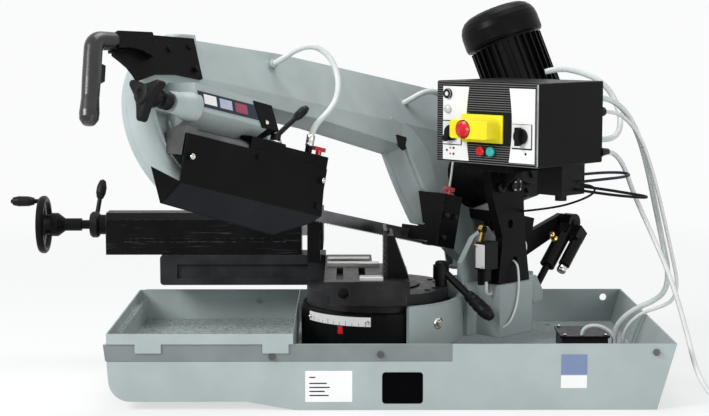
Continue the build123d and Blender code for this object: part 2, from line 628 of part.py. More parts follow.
def bow_outline(plane, inset=0.0):
    """Outline of the bow: the idler part, the beam and the drive part."""
    brow, left, foot = (around(RIM_CENTRE, RIM_R, angle) for angle in (125, 180, 300))
    with BuildSketch(plane) as outline:
        with BuildLine():
            ThreePointArc(brow, left, foot)
            ThreePointArc(foot, (IDLER_X + 159, 34), (IDLER_X + 192, 102))
            Polyline((IDLER_X + 192, 102), (IDLER_X + 176, 145), (IDLER_X + 150, 189), (-185, 193), (62, 184))
            ThreePointArc((62, 184), (94, 104), (132, 32))
            ThreePointArc((132, 32), (196, -40), (290, -50))
            ThreePointArc((290, -50), (DRIVE_X + WHEEL_R + 49, WHEEL_V + 12), (300, TOP_V + 92))
            Polyline(
                (300, TOP_V + 92),
                (190, TOP_V + 89),
                (-60, TOP_V + 73),
                (-267, TOP_V + 59),
                (IDLER_X - 13, TOP_V + 27),
                brow,
            )
        make_face()
        if inset:
            offset(amount=-inset, kind=Kind.INTERSECTION)
    return outline.sketch


def guide_notch():
    """Room for the right guide and the blade in the drive part."""
    with Locations(Pos(70, -20, (190 + SLOT_TOP) / 2)):
        Box(180, 200, SLOT_TOP - 190, mode=Mode.SUBTRACT)


def blade_mouths(back, deep):
    """Openings where the blade leaves the wheels for the guides."""
    for ends in ((IDLER_X + 20, IDLER_X + 210), (DRIVE_X - 125, DRIVE_X - 25)):
        mouth = [(ends[0], -60), (ends[1], -60), (ends[1], 24), (ends[0], 24)]
        prism(xy(WHEELS, back), mouth, deep, Mode.SUBTRACT)


with BuildPart(xy(HEAD)) as bow_casting:
    extrude(bow_outline(xy(WHEELS, BOW_BACK)), amount=BOW_FRONT - BOW_BACK)
    front = xy(WHEELS, BOW_FRONT)
    rim = [
        edge for edge in bow_casting.edges().filter_by(GeomType.CIRCLE)
        if abs(front.to_local_coords(edge.center()).Z) < FREE and front.to_local_coords(edge.center()).X < RIM_CENTRE[0]
    ]
    fillet(rim, RIM_ROUND)
    slope = radians(2.6)
    crease = on(
        WHEELS,
        origin=(IDLER_X - 19, 213, BOW_FRONT), x_dir=(-sin(slope), cos(slope), 0), z_dir=(cos(slope), sin(slope), 0)
    )
    face_fall = [(0, 0), (0, 5), (240, 5), (240, -64)]
    prism(crease, face_fall, 1000, Mode.SUBTRACT)
    behind = BOW_BACK - 1
    deep = CAVITY_FRONT - behind
    idler_room = [(IDLER_X, WHEEL_V), (IDLER_X + TENSION_TRAVEL, WHEEL_V)]
    disc(xy(WHEELS, behind), idler_room, CAVITY_R, deep, Mode.SUBTRACT)
    disc(xy(WHEELS, behind), [(DRIVE_X, WHEEL_V)], CAVITY_R, deep, Mode.SUBTRACT)
    channel = [(IDLER_X, TOP_V - 21), (DRIVE_X, TOP_V - 21), (DRIVE_X, TOP_V + 24), (IDLER_X, TOP_V + 8)]
    prism(xy(WHEELS, behind), channel, deep, Mode.SUBTRACT)
    blade_mouths(behind, deep + 2)
    guide_notch()
    disc(xy(WHEELS, 0), [(DRIVE_X, WHEEL_V)], 21, 100, Mode.SUBTRACT)
    with BuildSketch(xy(WHEELS, BOW_FRONT - 12)) as dish:
        with Locations(RIM_CENTRE):
            Circle(RIM_R - RIM_ROUND - 12)
            Circle(92, mode=Mode.SUBTRACT)
            for rib in (180, 215, 250, 285, 320):
                with Locations(Rot(0, 0, rib) * Pos(128, 0, 0)):
                    Rectangle(90, 40 if rib == 180 else 12, mode=Mode.SUBTRACT)
        with Locations((IDLER_X, WHEEL_V + 132)):
            Rectangle(500, 180, mode=Mode.SUBTRACT)
        with Locations((IDLER_X + 210, 100)):
            Rectangle(130, 400, mode=Mode.SUBTRACT)
    extrude(dish.sketch, amount=20, mode=Mode.SUBTRACT)
    disc(xy(WHEELS, BOW_FRONT - 30), [(IDLER_X + 108, 107)], 8, 50, Mode.SUBTRACT)
    housing = [
        (WHEEL_V - 52, BOW_FRONT - 14),
        (WHEEL_V - 36, HOUSING_TOP),
        (WHEEL_V + 19, HOUSING_TOP),
        (WHEEL_V + 50, BOW_FRONT - 14),
    ]
    prism(yz(WHEELS, IDLER_X - 103), housing, 178)
    boss_plane = on(
        WHEELS, origin=(IDLER_X - 100, TENSION_V, TENSION_FRONT), x_dir=(0, 1, 0), z_dir=(0, 0, 1)
    )
    turned(boss_plane, [(0, -8), (28, -8), (28, 6), (22, 30), (20, 48), (0, 48)])
    slide_room = (WHEEL_V - SLIDE_HALF, WHEEL_V + SLIDE_HALF)
    near, far = IDLER_X - 96, IDLER_X + 36
    slide_path = [(near, slide_room[0]), (far, slide_room[0]), (far, slide_room[1]), (near, slide_room[1])]
    prism(xy(WHEELS, BOW_FRONT), slide_path, 25, Mode.SUBTRACT)
    far = IDLER_X - 40
    nut_path = [(near, TENSION_V - 14), (far, TENSION_V - 14), (far, TENSION_V + 24), (near, TENSION_V + 24)]
    prism(xy(WHEELS, BOW_FRONT + 10), nut_path, HOUSING_TOP - 6 - BOW_FRONT - 10, Mode.SUBTRACT)
    axle_gap = 17.0
    disc(xy(WHEELS, 0), idler_room, axle_gap, BOW_FRONT + 10, Mode.SUBTRACT)
    slot = [
        (IDLER_X, WHEEL_V - axle_gap),
        (IDLER_X + TENSION_TRAVEL, WHEEL_V - axle_gap),
        (IDLER_X + TENSION_TRAVEL, WHEEL_V + axle_gap),
        (IDLER_X, WHEEL_V + axle_gap),
    ]
    prism(xy(WHEELS, 0), slot, BOW_FRONT + 10, Mode.SUBTRACT)
    disc(xy(WHEELS, CAVITY_FRONT), [HOSE_BOSS], 11, HOSE_BOSS_N - CAVITY_FRONT)
    disc(yz(WHEELS, IDLER_X - 160), [(TENSION_V, TENSION_FRONT)], 9 + SLIP, 80, Mode.SUBTRACT)
write(bow_casting, "bow_casting")

COVER_T, COVER_INSET = 2.5, 6.0
with BuildPart(xy(HEAD)) as rear_cover:
    back = BOW_BACK - COVER_DEEP
    extrude(bow_outline(xy(WHEELS, back), COVER_INSET), amount=COVER_DEEP)
    inside = bow_outline(xy(WHEELS, back + COVER_T), COVER_INSET + COVER_T)
    extrude(inside, amount=COVER_DEEP, mode=Mode.SUBTRACT)
    blade_mouths(back - 1, COVER_DEEP + 2)
    guide_notch()
    knobs = [(IDLER_X, WHEEL_V), (-150, 262), (DRIVE_X, WHEEL_V), (DRIVE_X + 110, 270), (IDLER_X - 110, 70)]
    disc(xy(WHEELS, back - 12), knobs, 14, 12)
write(rear_cover, "rear_cover")

WHEEL_HALF = BLADE_W / 2


def saw_wheel(centre_x):
    """Rim, web with five openings, and hub of a saw wheel."""
    centre = [(centre_x, WHEEL_V)]
    disc(xy(WHEELS, -WHEEL_HALF), centre, WHEEL_R, 2 * WHEEL_HALF)
    disc(xy(WHEELS, -WHEEL_HALF - 1), centre, WHEEL_R - 14, WHEEL_HALF - 4, Mode.SUBTRACT)
    disc(xy(WHEELS, 5), centre, WHEEL_R - 14, WHEEL_HALF, Mode.SUBTRACT)
    around = [
        (centre_x + 78 * cos(radians(72 * k)), WHEEL_V + 78 * sin(radians(72 * k))) for k in range(5)
    ]
    disc(xy(WHEELS, -20), around, 25, 40, Mode.SUBTRACT)
    disc(xy(WHEELS, -WHEEL_HALF), centre, 34, 2 * WHEEL_HALF + 4)


AXLE_R = 15.0
with BuildPart(xy(HEAD)) as idler_wheel:
    saw_wheel(IDLER_X)
    disc(xy(WHEELS, -40), [(IDLER_X, WHEEL_V)], AXLE_R + SLIP, 80, Mode.SUBTRACT)
write(idler_wheel, "idler_wheel")

with BuildPart(xy(HEAD)) as drive_wheel:
    saw_wheel(DRIVE_X)
    disc(xy(WHEELS, 10), [(DRIVE_X, WHEEL_V)], 20, 130)
write(drive_wheel, "drive_wheel")

with BuildPart(xy(HEAD)) as tension_slide:
    low, high = WHEEL_V - SLIDE_HALF + FREE, WHEEL_V + SLIDE_HALF - FREE
    near, far = IDLER_X - 94, IDLER_X + 22
    slide = [(near, low), (far, low), (far, high), (near, high)]
    prism(xy(WHEELS, BOW_FRONT + FREE), slide, 24)
    far = IDLER_X - 56
    nut = [(near, TENSION_V - 12), (far, TENSION_V - 12), (far, TENSION_V + 21), (near, TENSION_V + 21)]
    prism(xy(WHEELS, BOW_FRONT + 20), nut, HOUSING_TOP - 9 - BOW_FRONT - 20)
    disc(xy(WHEELS, -19), [(IDLER_X, WHEEL_V)], AXLE_R, BOW_FRONT + 30)
    disc(xy(WHEELS, -19), [(IDLER_X, WHEEL_V)], 22, 4)
    disc(yz(WHEELS, IDLER_X - 200), [(TENSION_V, TENSION_FRONT)], 9 + SLIP, 200, Mode.SUBTRACT)
write(tension_slide, "tension_slide")

with BuildPart(xy(HEAD)) as tension_knob:
    disc(yz(WHEELS, IDLER_X - 212), [(TENSION_V, TENSION_FRONT)], 9, 150)
    disc(yz(WHEELS, IDLER_X - 172), [(TENSION_V, TENSION_FRONT)], 17, 20)
    disc(yz(WHEELS, IDLER_X - 218), [(TENSION_V, TENSION_FRONT)], 19, 34)
    for lobe in range(3):
        angle = radians(120 * lobe + 80)
        tip = (TENSION_V + 36 * cos(angle), TENSION_FRONT + 36 * sin(angle))
        half = (TENSION_V + 20 * cos(angle), TENSION_FRONT + 20 * sin(angle))
        disc(yz(WHEELS, IDLER_X - 216), [tip, half], 12, 22)
write(tension_knob, "tension_knob")

PLATE_T = 8.0
GRIP_N = BOW_FRONT + PLATE_T
GRIP_R, GRIP_STEM_R = 17.0, 9.0
GRIP_LEAN = 8.3
# The bracket and grip are drawn from a point on the rim, up to its left
BRACKET = WHEELS * Pos(RIM_CENTRE[0] - 0.8 * RIM_R, RIM_CENTRE[1] + 0.6 * RIM_R, 0)
GRIP_TOP, GRIP_CORNER, GRIP_END = (-151.4, -47.2), (-148.4, -26.2), (-103.4, -17.2)
grip_frame = BRACKET * Pos(*GRIP_TOP, GRIP_N) * Rot(90, 0, 0) * Rot(0, -GRIP_LEAN, 0)
end_run = (GRIP_END[0] - GRIP_CORNER[0], GRIP_END[1] - GRIP_CORNER[1], 0)
grip_end = on(BRACKET, origin=(*GRIP_END, GRIP_N), x_dir=(0, 0, 1), z_dir=end_run)
with BuildPart(xy(HEAD)) as handle_bracket:
    top_edge = [(-103.4, -3.2), (-52.4, 8.8), (-7.4, 19.8), (96.6, 38.8)]
    low_edge = [(110.6, -42.2), (47.6, -46.2), (-2.4, -57.2), (-28.4, -71.2)]
    hook = [(-50.4, -82.2), (-58.4, -71.2), (-71.4, -59.2), (-88.4, -50.2), (-103.4, -43.2)]
    prism(xy(BRACKET, BOW_FRONT), top_edge + low_edge + hook, PLATE_T)
    arm_top = [(-103.4, -35.2), (-103.4, -1.2), (-52.4, 9.8), (-20.4, 16.8)]
    arm_low = [(-8.4, -13.2), (-22.4, -33.2), (-47.4, -26.2), (-78.4, -28.2)]
    prism(xy(BRACKET, GRIP_N - GRIP_R), arm_top + arm_low, 2 * GRIP_R - 2)
    disc(xy(BRACKET, GRIP_N), [(91.6, -27.2), (83.6, 18.8), (31.6, 0.8)], 6, 4)
    disc(grip_end, [(0, 0)], GRIP_R + 2, -20, Mode.SUBTRACT)
    disc(grip_end, [(0, 0)], GRIP_STEM_R, -12)
    disc(grip_end, [(0, 0)], GRIP_R - 1, 6)
write(handle_bracket, "handle_bracket")

with BuildPart(xy(grip_frame)) as handle_grip:
    grip = [(0, 0), (GRIP_R, 0), (GRIP_R, -60), (16, -96), (18, -126), (17, -138), (12, -146), (0, -148)]
    turned(on(grip_frame, origin=(0, 0, 0), x_dir=(1, 0, 0), z_dir=(0, 1, 0)), grip)
    with BuildLine() as elbow:
        FilletPolyline(*placed(BRACKET, [(*spot, GRIP_N) for spot in (GRIP_TOP, GRIP_CORNER, GRIP_END)]), radius=24)
    with BuildSketch(Plane(origin=elbow.line @ 0, z_dir=elbow.line % 0)) as section:
        Circle(GRIP_R)
    sweep(section.sketch, path=elbow.line)
    block((6, 30), (-5 - FREE, 5 + FREE), (20, 58), Mode.SUBTRACT)
    disc(grip_end, [(0, 0)], GRIP_STEM_R, -14, Mode.SUBTRACT)
write(handle_grip, "handle_grip")

with BuildPart(xy(grip_frame)) as trigger:
    block((12, 26), (-5, 5), (22, 56))
    fillet(trigger.edges().group_by(SortBy.LENGTH)[0], 2)
write(trigger, "trigger")

# Drive: gearbox and motor, leaning to the handle end

tilt = radians(MOTOR_TILT)
MOTOR_PLANE = Plane(
    origin=(DRIVE_X + WORM_OFFSET * cos(tilt), WHEEL_V + WORM_OFFSET * sin(tilt), MOTOR_N),
    x_dir=(cos(tilt), sin(tilt), 0),
    z_dir=(-sin(tilt), cos(tilt), 0),
)
MOTOR = WHEELS * MOTOR_PLANE.location
FLANGE_Z, MOTOR_TOP = 78.0, 272.0
with BuildPart(xy(MOTOR)) as gearbox:
    drive_axis = [(DRIVE_X, WHEEL_V)]
    disc(xy(WHEELS, BOW_FRONT), drive_axis, 62, 75)
    disc(xy(WHEELS, 118), drive_axis, 86, 88)
    disc(xy(MOTOR, -70), [(0, 0)], 42, FLANGE_Z + 70)
    neck = [(-WORM_OFFSET, -45), (0, -45), (0, 45), (-WORM_OFFSET, 45)]
    prism(xz(MOTOR, 40), neck, 80)
    disc(xy(WHEELS, 206), drive_axis, 58, 6)
    bolts = [(DRIVE_X + 72 * cos(radians(a)), WHEEL_V + 72 * sin(radians(a))) for a in range(90, 330, 60)]
    disc(xy(WHEELS, 206), bolts, 6, 5)
    disc(xy(WHEELS, BOW_FRONT - 5), drive_axis, 20 + SLIP, 102, Mode.SUBTRACT)
write(gearbox, "gearbox")

FINS = 28
with BuildPart(xy(MOTOR)) as motor_body:
    disc(xy(MOTOR, FLANGE_Z), [(0, 0)], 62, 10)
    disc(xy(MOTOR, FLANGE_Z + 10), [(0, 0)], MOTOR_R - 4, MOTOR_TOP - FLANGE_Z - 10)
    fin_run = (FLANGE_Z + 18, MOTOR_TOP - 6)
    fins = [Rot(0, 0, 360 * k / FINS) * Pos(MOTOR_R, 0, sum(fin_run) / 2) for k in range(FINS)]
    with Locations(*fins):
        Box(14, 3, fin_run[1] - fin_run[0])
    block((60, 112), (-30, 30), (104, 170))
write(motor_body, "motor_body")

with BuildPart(xy(MOTOR)) as fan_cowl:
    outside = [(90, 6), (90, 34), (88, 46), (83, 57), (75, 66), (64, 72), (50, 75), (0, 77)]
    inside = [(0, 73), (49, 71), (62, 68), (72, 63), (79, 55), (84, 45), (86, 34), (86, 3)]
    shell = [(60, 0), (88, 0)] + outside + inside + [(60, 3)]
    shell = [(radius, MOTOR_TOP + height) for radius, height in shell]
    turned(on(MOTOR, origin=(0, 0, 0), x_dir=(1, 0, 0), z_dir=(0, -1, 0)), shell)
    slots = [Rot(0, 0, 20 * k) * Pos(40, 0, MOTOR_TOP + 74) for k in range(18)]
    with Locations(*slots):
        Box(34, 4, 16, mode=Mode.SUBTRACT)
write(fan_cowl, "fan_cowl")


def bow_face(z):
    """How far forward the leaning front face of the bow is at a height."""
    v = (z - BLADE_Z - BOW_FRONT * LEAN_SIN) / LEAN_COS
    return v * LEAN_SIN - BOW_FRONT * LEAN_COS


rise = radians(LIFT)
up_x, up_z = CYL_UP[0] - PIVOT_X, CYL_UP[1] - PIVOT_Z
DAMPER_EYE = (
    PIVOT_X + up_x * cos(rise) - up_z * sin(rise),
    PIVOT_Z + up_x * sin(rise) + up_z * cos(rise),
)
EAR_T = 14.0
EAR_GAP = 1.0
outer_ear, inner_ear = COLUMN_Y[0] - EAR_GAP, COLUMN_Y[1] + EAR_GAP + EAR_T
with BuildPart(xy(HEAD)) as pivot_ears:
    ear_low, ear_high = 312, 333
    tie = [
        (outer_ear - EAR_T, ear_low),
        (outer_ear - EAR_T, ear_high),
        (bow_face(ear_high), ear_high),
        (bow_face(ear_low), ear_low),
    ]
    prism(yz(HEAD, PIVOT_X - 38), tie, 76)
    for y in (outer_ear, inner_ear):
        disc(xz(HEAD, y), [(PIVOT_X, PIVOT_Z)], 36, EAR_T)
        cheek = [(PIVOT_X - 36, PIVOT_Z), (PIVOT_X + 36, PIVOT_Z), (PIVOT_X + 38, 330), (PIVOT_X - 38, 330)]
        prism(xz(HEAD, y), cheek, EAR_T)
    arm_to_eye = [
        (PIVOT_X + 10, 290),
        (PIVOT_X + 30, PIVOT_Z - 14),
        (DAMPER_EYE[0] + 8, DAMPER_EYE[1] - 18),
        (DAMPER_EYE[0] - 6, DAMPER_EYE[1] + 18),
    ]
    prism(xz(HEAD, outer_ear), arm_to_eye, EAR_T)
    disc(xz(HEAD, outer_ear), [DAMPER_EYE], 19, EAR_T)
    disc(xz(HEAD, outer_ear - EAR_T), [DAMPER_EYE], 8, 38)
    disc(xz(HEAD, 0), [(PIVOT_X, PIVOT_Z)], PIN_R + SLIP, 200, Mode.SUBTRACT)
write(pivot_ears, "pivot_ears")

# Blade: flat on the wheels, turned upright between the guides

UPRIGHT = (-330.0, 150.0)
TOOTH_PITCH, TOOTH_H = 8.0, 3.2
TWIST_STEPS = 8
FLAT_RUN = 45.0  # the band stays flat this far past a wheel's axis


def blade_section(x, share):
    """Cross section of the lower run: share 0 lies on a wheel, share 1 stands upright."""
    low = -(FREE + BLADE_T / 2) * (1 - share)
    angle = radians((180 - LEAN) * (1 - share) + 90 * share)
    centre = (x, low * LEAN_SIN, BLADE_Z + low * LEAN_COS)
    with BuildSketch(
        on(HEAD, origin=centre, x_dir=(0, cos(angle), sin(angle)), z_dir=(1, 0, 0))
    ) as section:
        Rectangle(BLADE_W, BLADE_T)
    return section.sketch.face()


with BuildPart(xy(HEAD)) as blade:
    with BuildSketch(xy(WHEELS, -WHEEL_HALF)) as band:
        span = DRIVE_X - IDLER_X
        middle = ((IDLER_X + DRIVE_X) / 2, WHEEL_V)
        inner_r = WHEEL_R + FREE
        with Locations(middle):
            SlotCenterToCenter(span, 2 * (inner_r + BLADE_T))
            SlotCenterToCenter(span, 2 * inner_r, mode=Mode.SUBTRACT)
        with Locations((middle[0], 0)):
            Rectangle(span, 20, mode=Mode.SUBTRACT)
    extrude(band.sketch, amount=BLADE_W)
    for wheel_x, upright_x in ((IDLER_X, UPRIGHT[0]), (DRIVE_X, UPRIGHT[1])):
        flat_x = wheel_x + (FLAT_RUN if upright_x > wheel_x else -FLAT_RUN)
        shares = [step / TWIST_STEPS for step in range(TWIST_STEPS + 1)]
        sections = [blade_section(flat_x + (upright_x - flat_x) * share, share) for share in shares]
        loft([blade_section(wheel_x, 0)] + sections, ruled=True)
    low, high = BLADE_Z - BLADE_W / 2, BLADE_Z + BLADE_W / 2
    edge = [(UPRIGHT[1], high), (UPRIGHT[0], high), (UPRIGHT[0], low)]
    teeth = int((UPRIGHT[1] - UPRIGHT[0]) / TOOTH_PITCH) - 2
    for tooth in range(teeth):
        tip = UPRIGHT[0] + (tooth + 1) * TOOTH_PITCH
        edge += [(tip, low), (tip + 2.5, low + TOOTH_H)]
    edge += [(UPRIGHT[0] + (teeth + 1) * TOOTH_PITCH, low), (UPRIGHT[1], low)]
    prism(xz(HEAD, BLADE_T / 2), edge, BLADE_T)
write(blade, "blade")

# Blade guides and guard

BLADE_SLOT = 1.6
NIPPLE, NIPPLE_TOP = (-299.0, -59.0), 374.0
GUARD_Y = -73.0
with BuildPart(xy(HEAD)) as guide_bar:
    disc(yz(HEAD, -622), [(BAR_Y, BAR_Z)], BAR_R, 357)
    foot = [(-70, 300), (-70, 354), (-46, 354), (bow_face(338), 338), (bow_face(300), 300)]
    prism(yz(HEAD, -622), foot, 28)
write(guide_bar, "guide_bar")

with BuildPart(xy(HEAD)) as guide_arm:
    block((-461, -373), (GUARD_Y, -38), (318, 365))
    fillet(guide_arm.edges().filter_by(Axis(xy(HEAD).origin, xy(HEAD).x_dir)).group_by(Axis.Z)[-1], 4)
    block((-373, -255), (GUARD_Y, -45), (326, 360))
    block((-295, -255), (GUARD_Y, -45), (240, 330))
    block((-295, -255), (-45, 20), (240, 285))
    disc(yz(HEAD, -470), [(BAR_Y, BAR_Z)], BAR_R + FREE, 230, Mode.SUBTRACT)
    block((-300, -250), (-BLADE_SLOT, BLADE_SLOT), (230, BLADE_Z + 15), Mode.SUBTRACT)
    disc(xy(HEAD, 360), [NIPPLE], 7, NIPPLE_TOP - 360)
write(guide_arm, "guide_arm")

with BuildPart(xy(HEAD)) as blade_guard:
    guard = [
        (-621, 341),
        (-459, 340),
        (-256, 336),
        (-256, 295),
        (-250, 243),
        (-278, 224),
        (-371, 188),
        (-654, 206),
        (-619, 252),
    ]
    prism(xz(HEAD, GUARD_Y), guard, 3)
    disc(xz(HEAD, GUARD_Y - 3), [(-606, 300), (-440, 328), (-268, 312), (-268, 262)], 6, 4)
write(blade_guard, "blade_guard")

with BuildPart(xy(HEAD)) as guide_clamp_lever:
    disc(xy(HEAD, 365 + FREE), [(-388, -56)], 10, 16)
    lever_up = HEAD * Pos(-388, -56, 376) * Rot(0, 44, 0)
    disc(xy(lever_up, 2), [(0, 0)], 5, 66)
    knob = [(0, 62), (6, 62), (9, 72), (9, 88), (6, 98), (0, 100)]
    turned(on(lever_up, origin=(0, 0, 0), x_dir=(1, 0, 0), z_dir=(0, -1, 0)), knob)
write(guide_clamp_lever, "guide_clamp_lever")

with BuildPart(xy(HEAD)) as right_guide:
    shape = [
        (-86, 232),
        (-58, 232),
        (-58, 240),
        (22, 240),
        (22, 270),
        (-42, 270),
        (-42, SLOT_TOP + 1),
        (bow_face(SLOT_TOP + 1), SLOT_TOP + 1),
        (bow_face(345), 345),
        (-86, 345),
    ]
    prism(yz(HEAD, 92), shape, 58)
    block((90, 152), (-BLADE_SLOT, BLADE_SLOT), (230, BLADE_Z + 15), Mode.SUBTRACT)
    disc(xz(HEAD, -86), [(106, 300), (134, 300), (106, 252)], 6, 4)
write(right_guide, "right_guide")

for name, x, y, z in (("tap_left", -271, -59, 360), ("tap_right", 121, -70, 345)):
    with BuildPart(xy(HEAD)) as tap:
        disc(xy(HEAD, z + FREE), [(x, y)], 6, 10)
        block((x - 15, x + 15), (y - 4, y + 4), (z + 9, z + 17))
    write(tap, name)

# Cords

hose_exit = [(*HOSE_BOSS, HOSE_BOSS_N), (*HOSE_BOSS, HOSE_BOSS_N + 32)]
hose_points = [
    (-290, 34, 570),
    (-260, 16, 585),
    (-228, -2, 570),
    (-212, -20, 530),
    (-222, -36, 484),
    (-256, -50, 448),
    (-288, -58, 422),
    (*NIPPLE, NIPPLE_TOP + 24),
    (*NIPPLE, NIPPLE_TOP),
]
with BuildPart() as coolant_hose:
    tube(placed(WHEELS, hose_exit) + placed(HEAD, hose_points), HOSE_D, "coolant_hose")
write(coolant_hose, "coolant_hose")


def box_exit(y, z, run=48.0):
    """A cord's first run, straight out of the back of the control box."""
    return placed(SWIVEL, [(BOX_X[1], y, z), (BOX_X[1] + run, y, z)])


conduit_points = box_exit(-380, 600) + [
    (506, -54, 578),
    (534, -58, 532),
    (554, -60, 470),
    (574, -56, 385),
    (598, -40, 290),
    (614, -24, 230),
    (612, -8, 184),
    (588, 8, 160),
    (556, 20, 144),
    (528, 30, 120),
    (512, 36, 92),
    (512, 36, DECK_Z),
]
wire_points = box_exit(-396, 572) + [
    (512, -66, 556),
    (544, -70, 512),
    (568, -76, 440),
    (592, -72, 350),
    (616, -54, 262),
    (631, -38, 208),
    (627, -22, 168),
    (601, -6, 150),
    (567, 4, 138),
    (540, 10, 114),
    (526, 13, 86),
    (526, 13, DECK_Z),
]
with BuildPart() as control_cables:
    tube(conduit_points, CABLE_D, "control conduit")
    tube(wire_points, CABLE_D - 4, "control wire")
write(control_cables, "control_cables")

FLOOR_Z = LEAD_D / 2 + FREE
COIL_R, COIL_TURNS = 5.5 * LEAD_D, 6
COIL_PITCH = LEAD_D + 1.2
COIL_CENTRE = (775.0, -272.0)
COIL_SLOPE = COIL_PITCH / (2 * pi * COIL_R)
coil_y = COIL_CENTRE[1] - COIL_R
coil_run = 50.0  # the straight runs into and out of the coil, on its own slope
coil_foot = FLOOR_Z + COIL_SLOPE * coil_run
coil_top = coil_foot + COIL_PITCH * COIL_TURNS
PLUG_Z = 19.0
lead_points = box_exit(-400, 490, 40) + [
    (497, -71, 474),
    (513, -62, 446),
    (524, -70, 412),
    (540, -94, 368),
    (562, -130, 312),
    (584, -168, 252),
    (600, -206, 190),
    (611, -244, 130),
    (620, -280, 74),
    (640, -308, 32),
    (678, coil_y + 3, 10),
    (COIL_CENTRE[0] - coil_run, coil_y, FLOOR_Z),
    (COIL_CENTRE[0], coil_y, coil_foot),
]
tail_points = [
    (COIL_CENTRE[0], coil_y, coil_top),
    (COIL_CENTRE[0] + 40, coil_y, coil_top + 40 * COIL_SLOPE),
    (COIL_CENTRE[0] + 75, coil_y, coil_top - 13),
    (COIL_CENTRE[0] + 105, coil_y, coil_top - 35),
    (COIL_CENTRE[0] + 131, coil_y, PLUG_Z + 3),
    (COIL_CENTRE[0] + 159, coil_y, PLUG_Z),
    (COIL_CENTRE[0] + 187, coil_y, PLUG_Z),
]
with BuildPart() as mains_lead:
    with BuildLine() as lead_path:
        FilletPolyline(*lead_points, radius=bend_radii(lead_points))
        coil = Helix(COIL_PITCH, COIL_PITCH * COIL_TURNS, COIL_R, mode=Mode.PRIVATE)
        add(coil.moved(Pos(*COIL_CENTRE, coil_foot) * Rot(0, 0, -90)))
        FilletPolyline(*tail_points, radius=bend_radii(tail_points))
    whole_lead = lead_path.wire()
    with BuildSketch(Plane(origin=whole_lead @ 0, z_dir=whole_lead % 0)) as section:
        Circle(LEAD_D / 2)
    sweep(section.sketch, path=whole_lead)
    length = whole_lead.length
    print("mains_lead length", round(length), "coil gap", round(COIL_PITCH - LEAD_D, 2))
    print("mains_lead bends", [round(r) for r in bend_radii(lead_points) + bend_radii(tail_points)])
    print("volume", round(mains_lead.part.volume), "section x length", round(pi * LEAD_D**2 / 4 * length))
write(mains_lead, "mains_lead")

PLUG_GRIP = 12.0  # depth of the lead in the plug
PLUG_X = tail_points[-1][0] - PLUG_GRIP + FREE
with BuildPart() as mains_plug:
    plug_plane = Plane(origin=(PLUG_X, coil_y, PLUG_Z), x_dir=(0, 1, 0), z_dir=(0, 0, -1))
    plug = [(0, 0), (8, 0), (9, 18), (17, 26), (18.5, 34), (18.5, 62), (0, 62)]
    turned(plug_plane, plug)
    disc(yz(BASE, PLUG_X - 1), [(coil_y, PLUG_Z)], LEAD_D / 2 + FREE, 1 + PLUG_GRIP, Mode.SUBTRACT)
    pins = [(coil_y, PLUG_Z + 9), (coil_y - 9.5, PLUG_Z - 6), (coil_y + 9.5, PLUG_Z - 6)]
    disc(yz(BASE, PLUG_X + 62), pins, 2.4, 19)
write(mains_plug, "mains_plug")
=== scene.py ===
"""Looks of the metal cutting band saw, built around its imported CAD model.

Lengths are in millimetres in the tables below and in metres in Blender. The frame is that of the CAD:
the origin on the mitre axis at the underside of the base, +X to the right, +Y away from the camera.
"""

import json
from math import cos, pi, radians, sin

import bmesh
import bpy
from mathutils import Matrix, Vector


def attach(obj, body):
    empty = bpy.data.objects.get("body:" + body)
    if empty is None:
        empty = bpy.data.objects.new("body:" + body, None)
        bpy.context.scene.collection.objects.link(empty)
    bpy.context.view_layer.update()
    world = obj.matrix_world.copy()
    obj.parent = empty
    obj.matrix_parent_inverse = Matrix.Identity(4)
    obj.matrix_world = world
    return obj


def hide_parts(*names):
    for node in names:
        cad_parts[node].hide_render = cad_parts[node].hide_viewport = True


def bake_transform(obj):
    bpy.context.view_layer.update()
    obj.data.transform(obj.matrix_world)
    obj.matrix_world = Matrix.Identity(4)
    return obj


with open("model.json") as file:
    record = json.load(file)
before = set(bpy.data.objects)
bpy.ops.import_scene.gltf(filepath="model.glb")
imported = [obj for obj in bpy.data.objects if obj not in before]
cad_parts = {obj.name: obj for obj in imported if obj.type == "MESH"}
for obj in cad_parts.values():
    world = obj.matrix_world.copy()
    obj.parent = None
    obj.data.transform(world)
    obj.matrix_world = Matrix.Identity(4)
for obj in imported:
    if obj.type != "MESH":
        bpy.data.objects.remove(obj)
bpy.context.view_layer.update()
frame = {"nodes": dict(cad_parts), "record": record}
scene = bpy.context.scene
MM = 0.001

# Frames of the swivel, the head and the wheels, as the saw stands at rest
MITRE, LIFT, LEAN = 45.0, 13.5, 22.0
PIVOT = Vector((300, 0, 262)) * MM
BLADE_Z = 247.5 * MM
BASE = Matrix.Identity(4)
SWIVEL = Matrix.Rotation(radians(MITRE), 4, "Z")
LIFTED = Matrix.Rotation(radians(LIFT), 4, "Y")
HEAD = SWIVEL @ Matrix.Translation(PIVOT) @ LIFTED @ Matrix.Translation(-PIVOT)
WHEELS = HEAD @ Matrix.Translation((0, 0, BLADE_Z)) @ Matrix.Rotation(radians(90 - LEAN), 4, "X")

# Places that several pieces share
IDLER, DRIVE = (-500.0, 138.0), (265.0, 138.0)  # wheel axes in the wheel frame
RIM = (-486.0, 140.0)  # centre of the casting's outer round, in the wheel frame
HOSE_BOSS, BOSS_N = (-303, 297), 30  # where the coolant hose leaves the bow, in the wheel frame
NIPPLE, NIPPLE_Z = (-299, -59), 374  # where it ends at the left guide, in the head frame
BOX_REAR = 232  # back of the control box, in the swivel frame
CONDUIT_EXIT, WIRE_EXIT, LEAD_EXIT = (-380, 600), (-396, 572), (-400, 490)  # y and z on that back
DECK_Z = 56  # deck of the right tray


def at(space, x, y, z):
    """A point of a frame, given in millimetres, in the frame of the whole saw."""
    return space @ (Vector((x, y, z)) * MM)


def placed(space, points):
    """Points of a frame, given in millimetres, in the frame of the whole saw."""
    return [at(space, *point) for point in points]


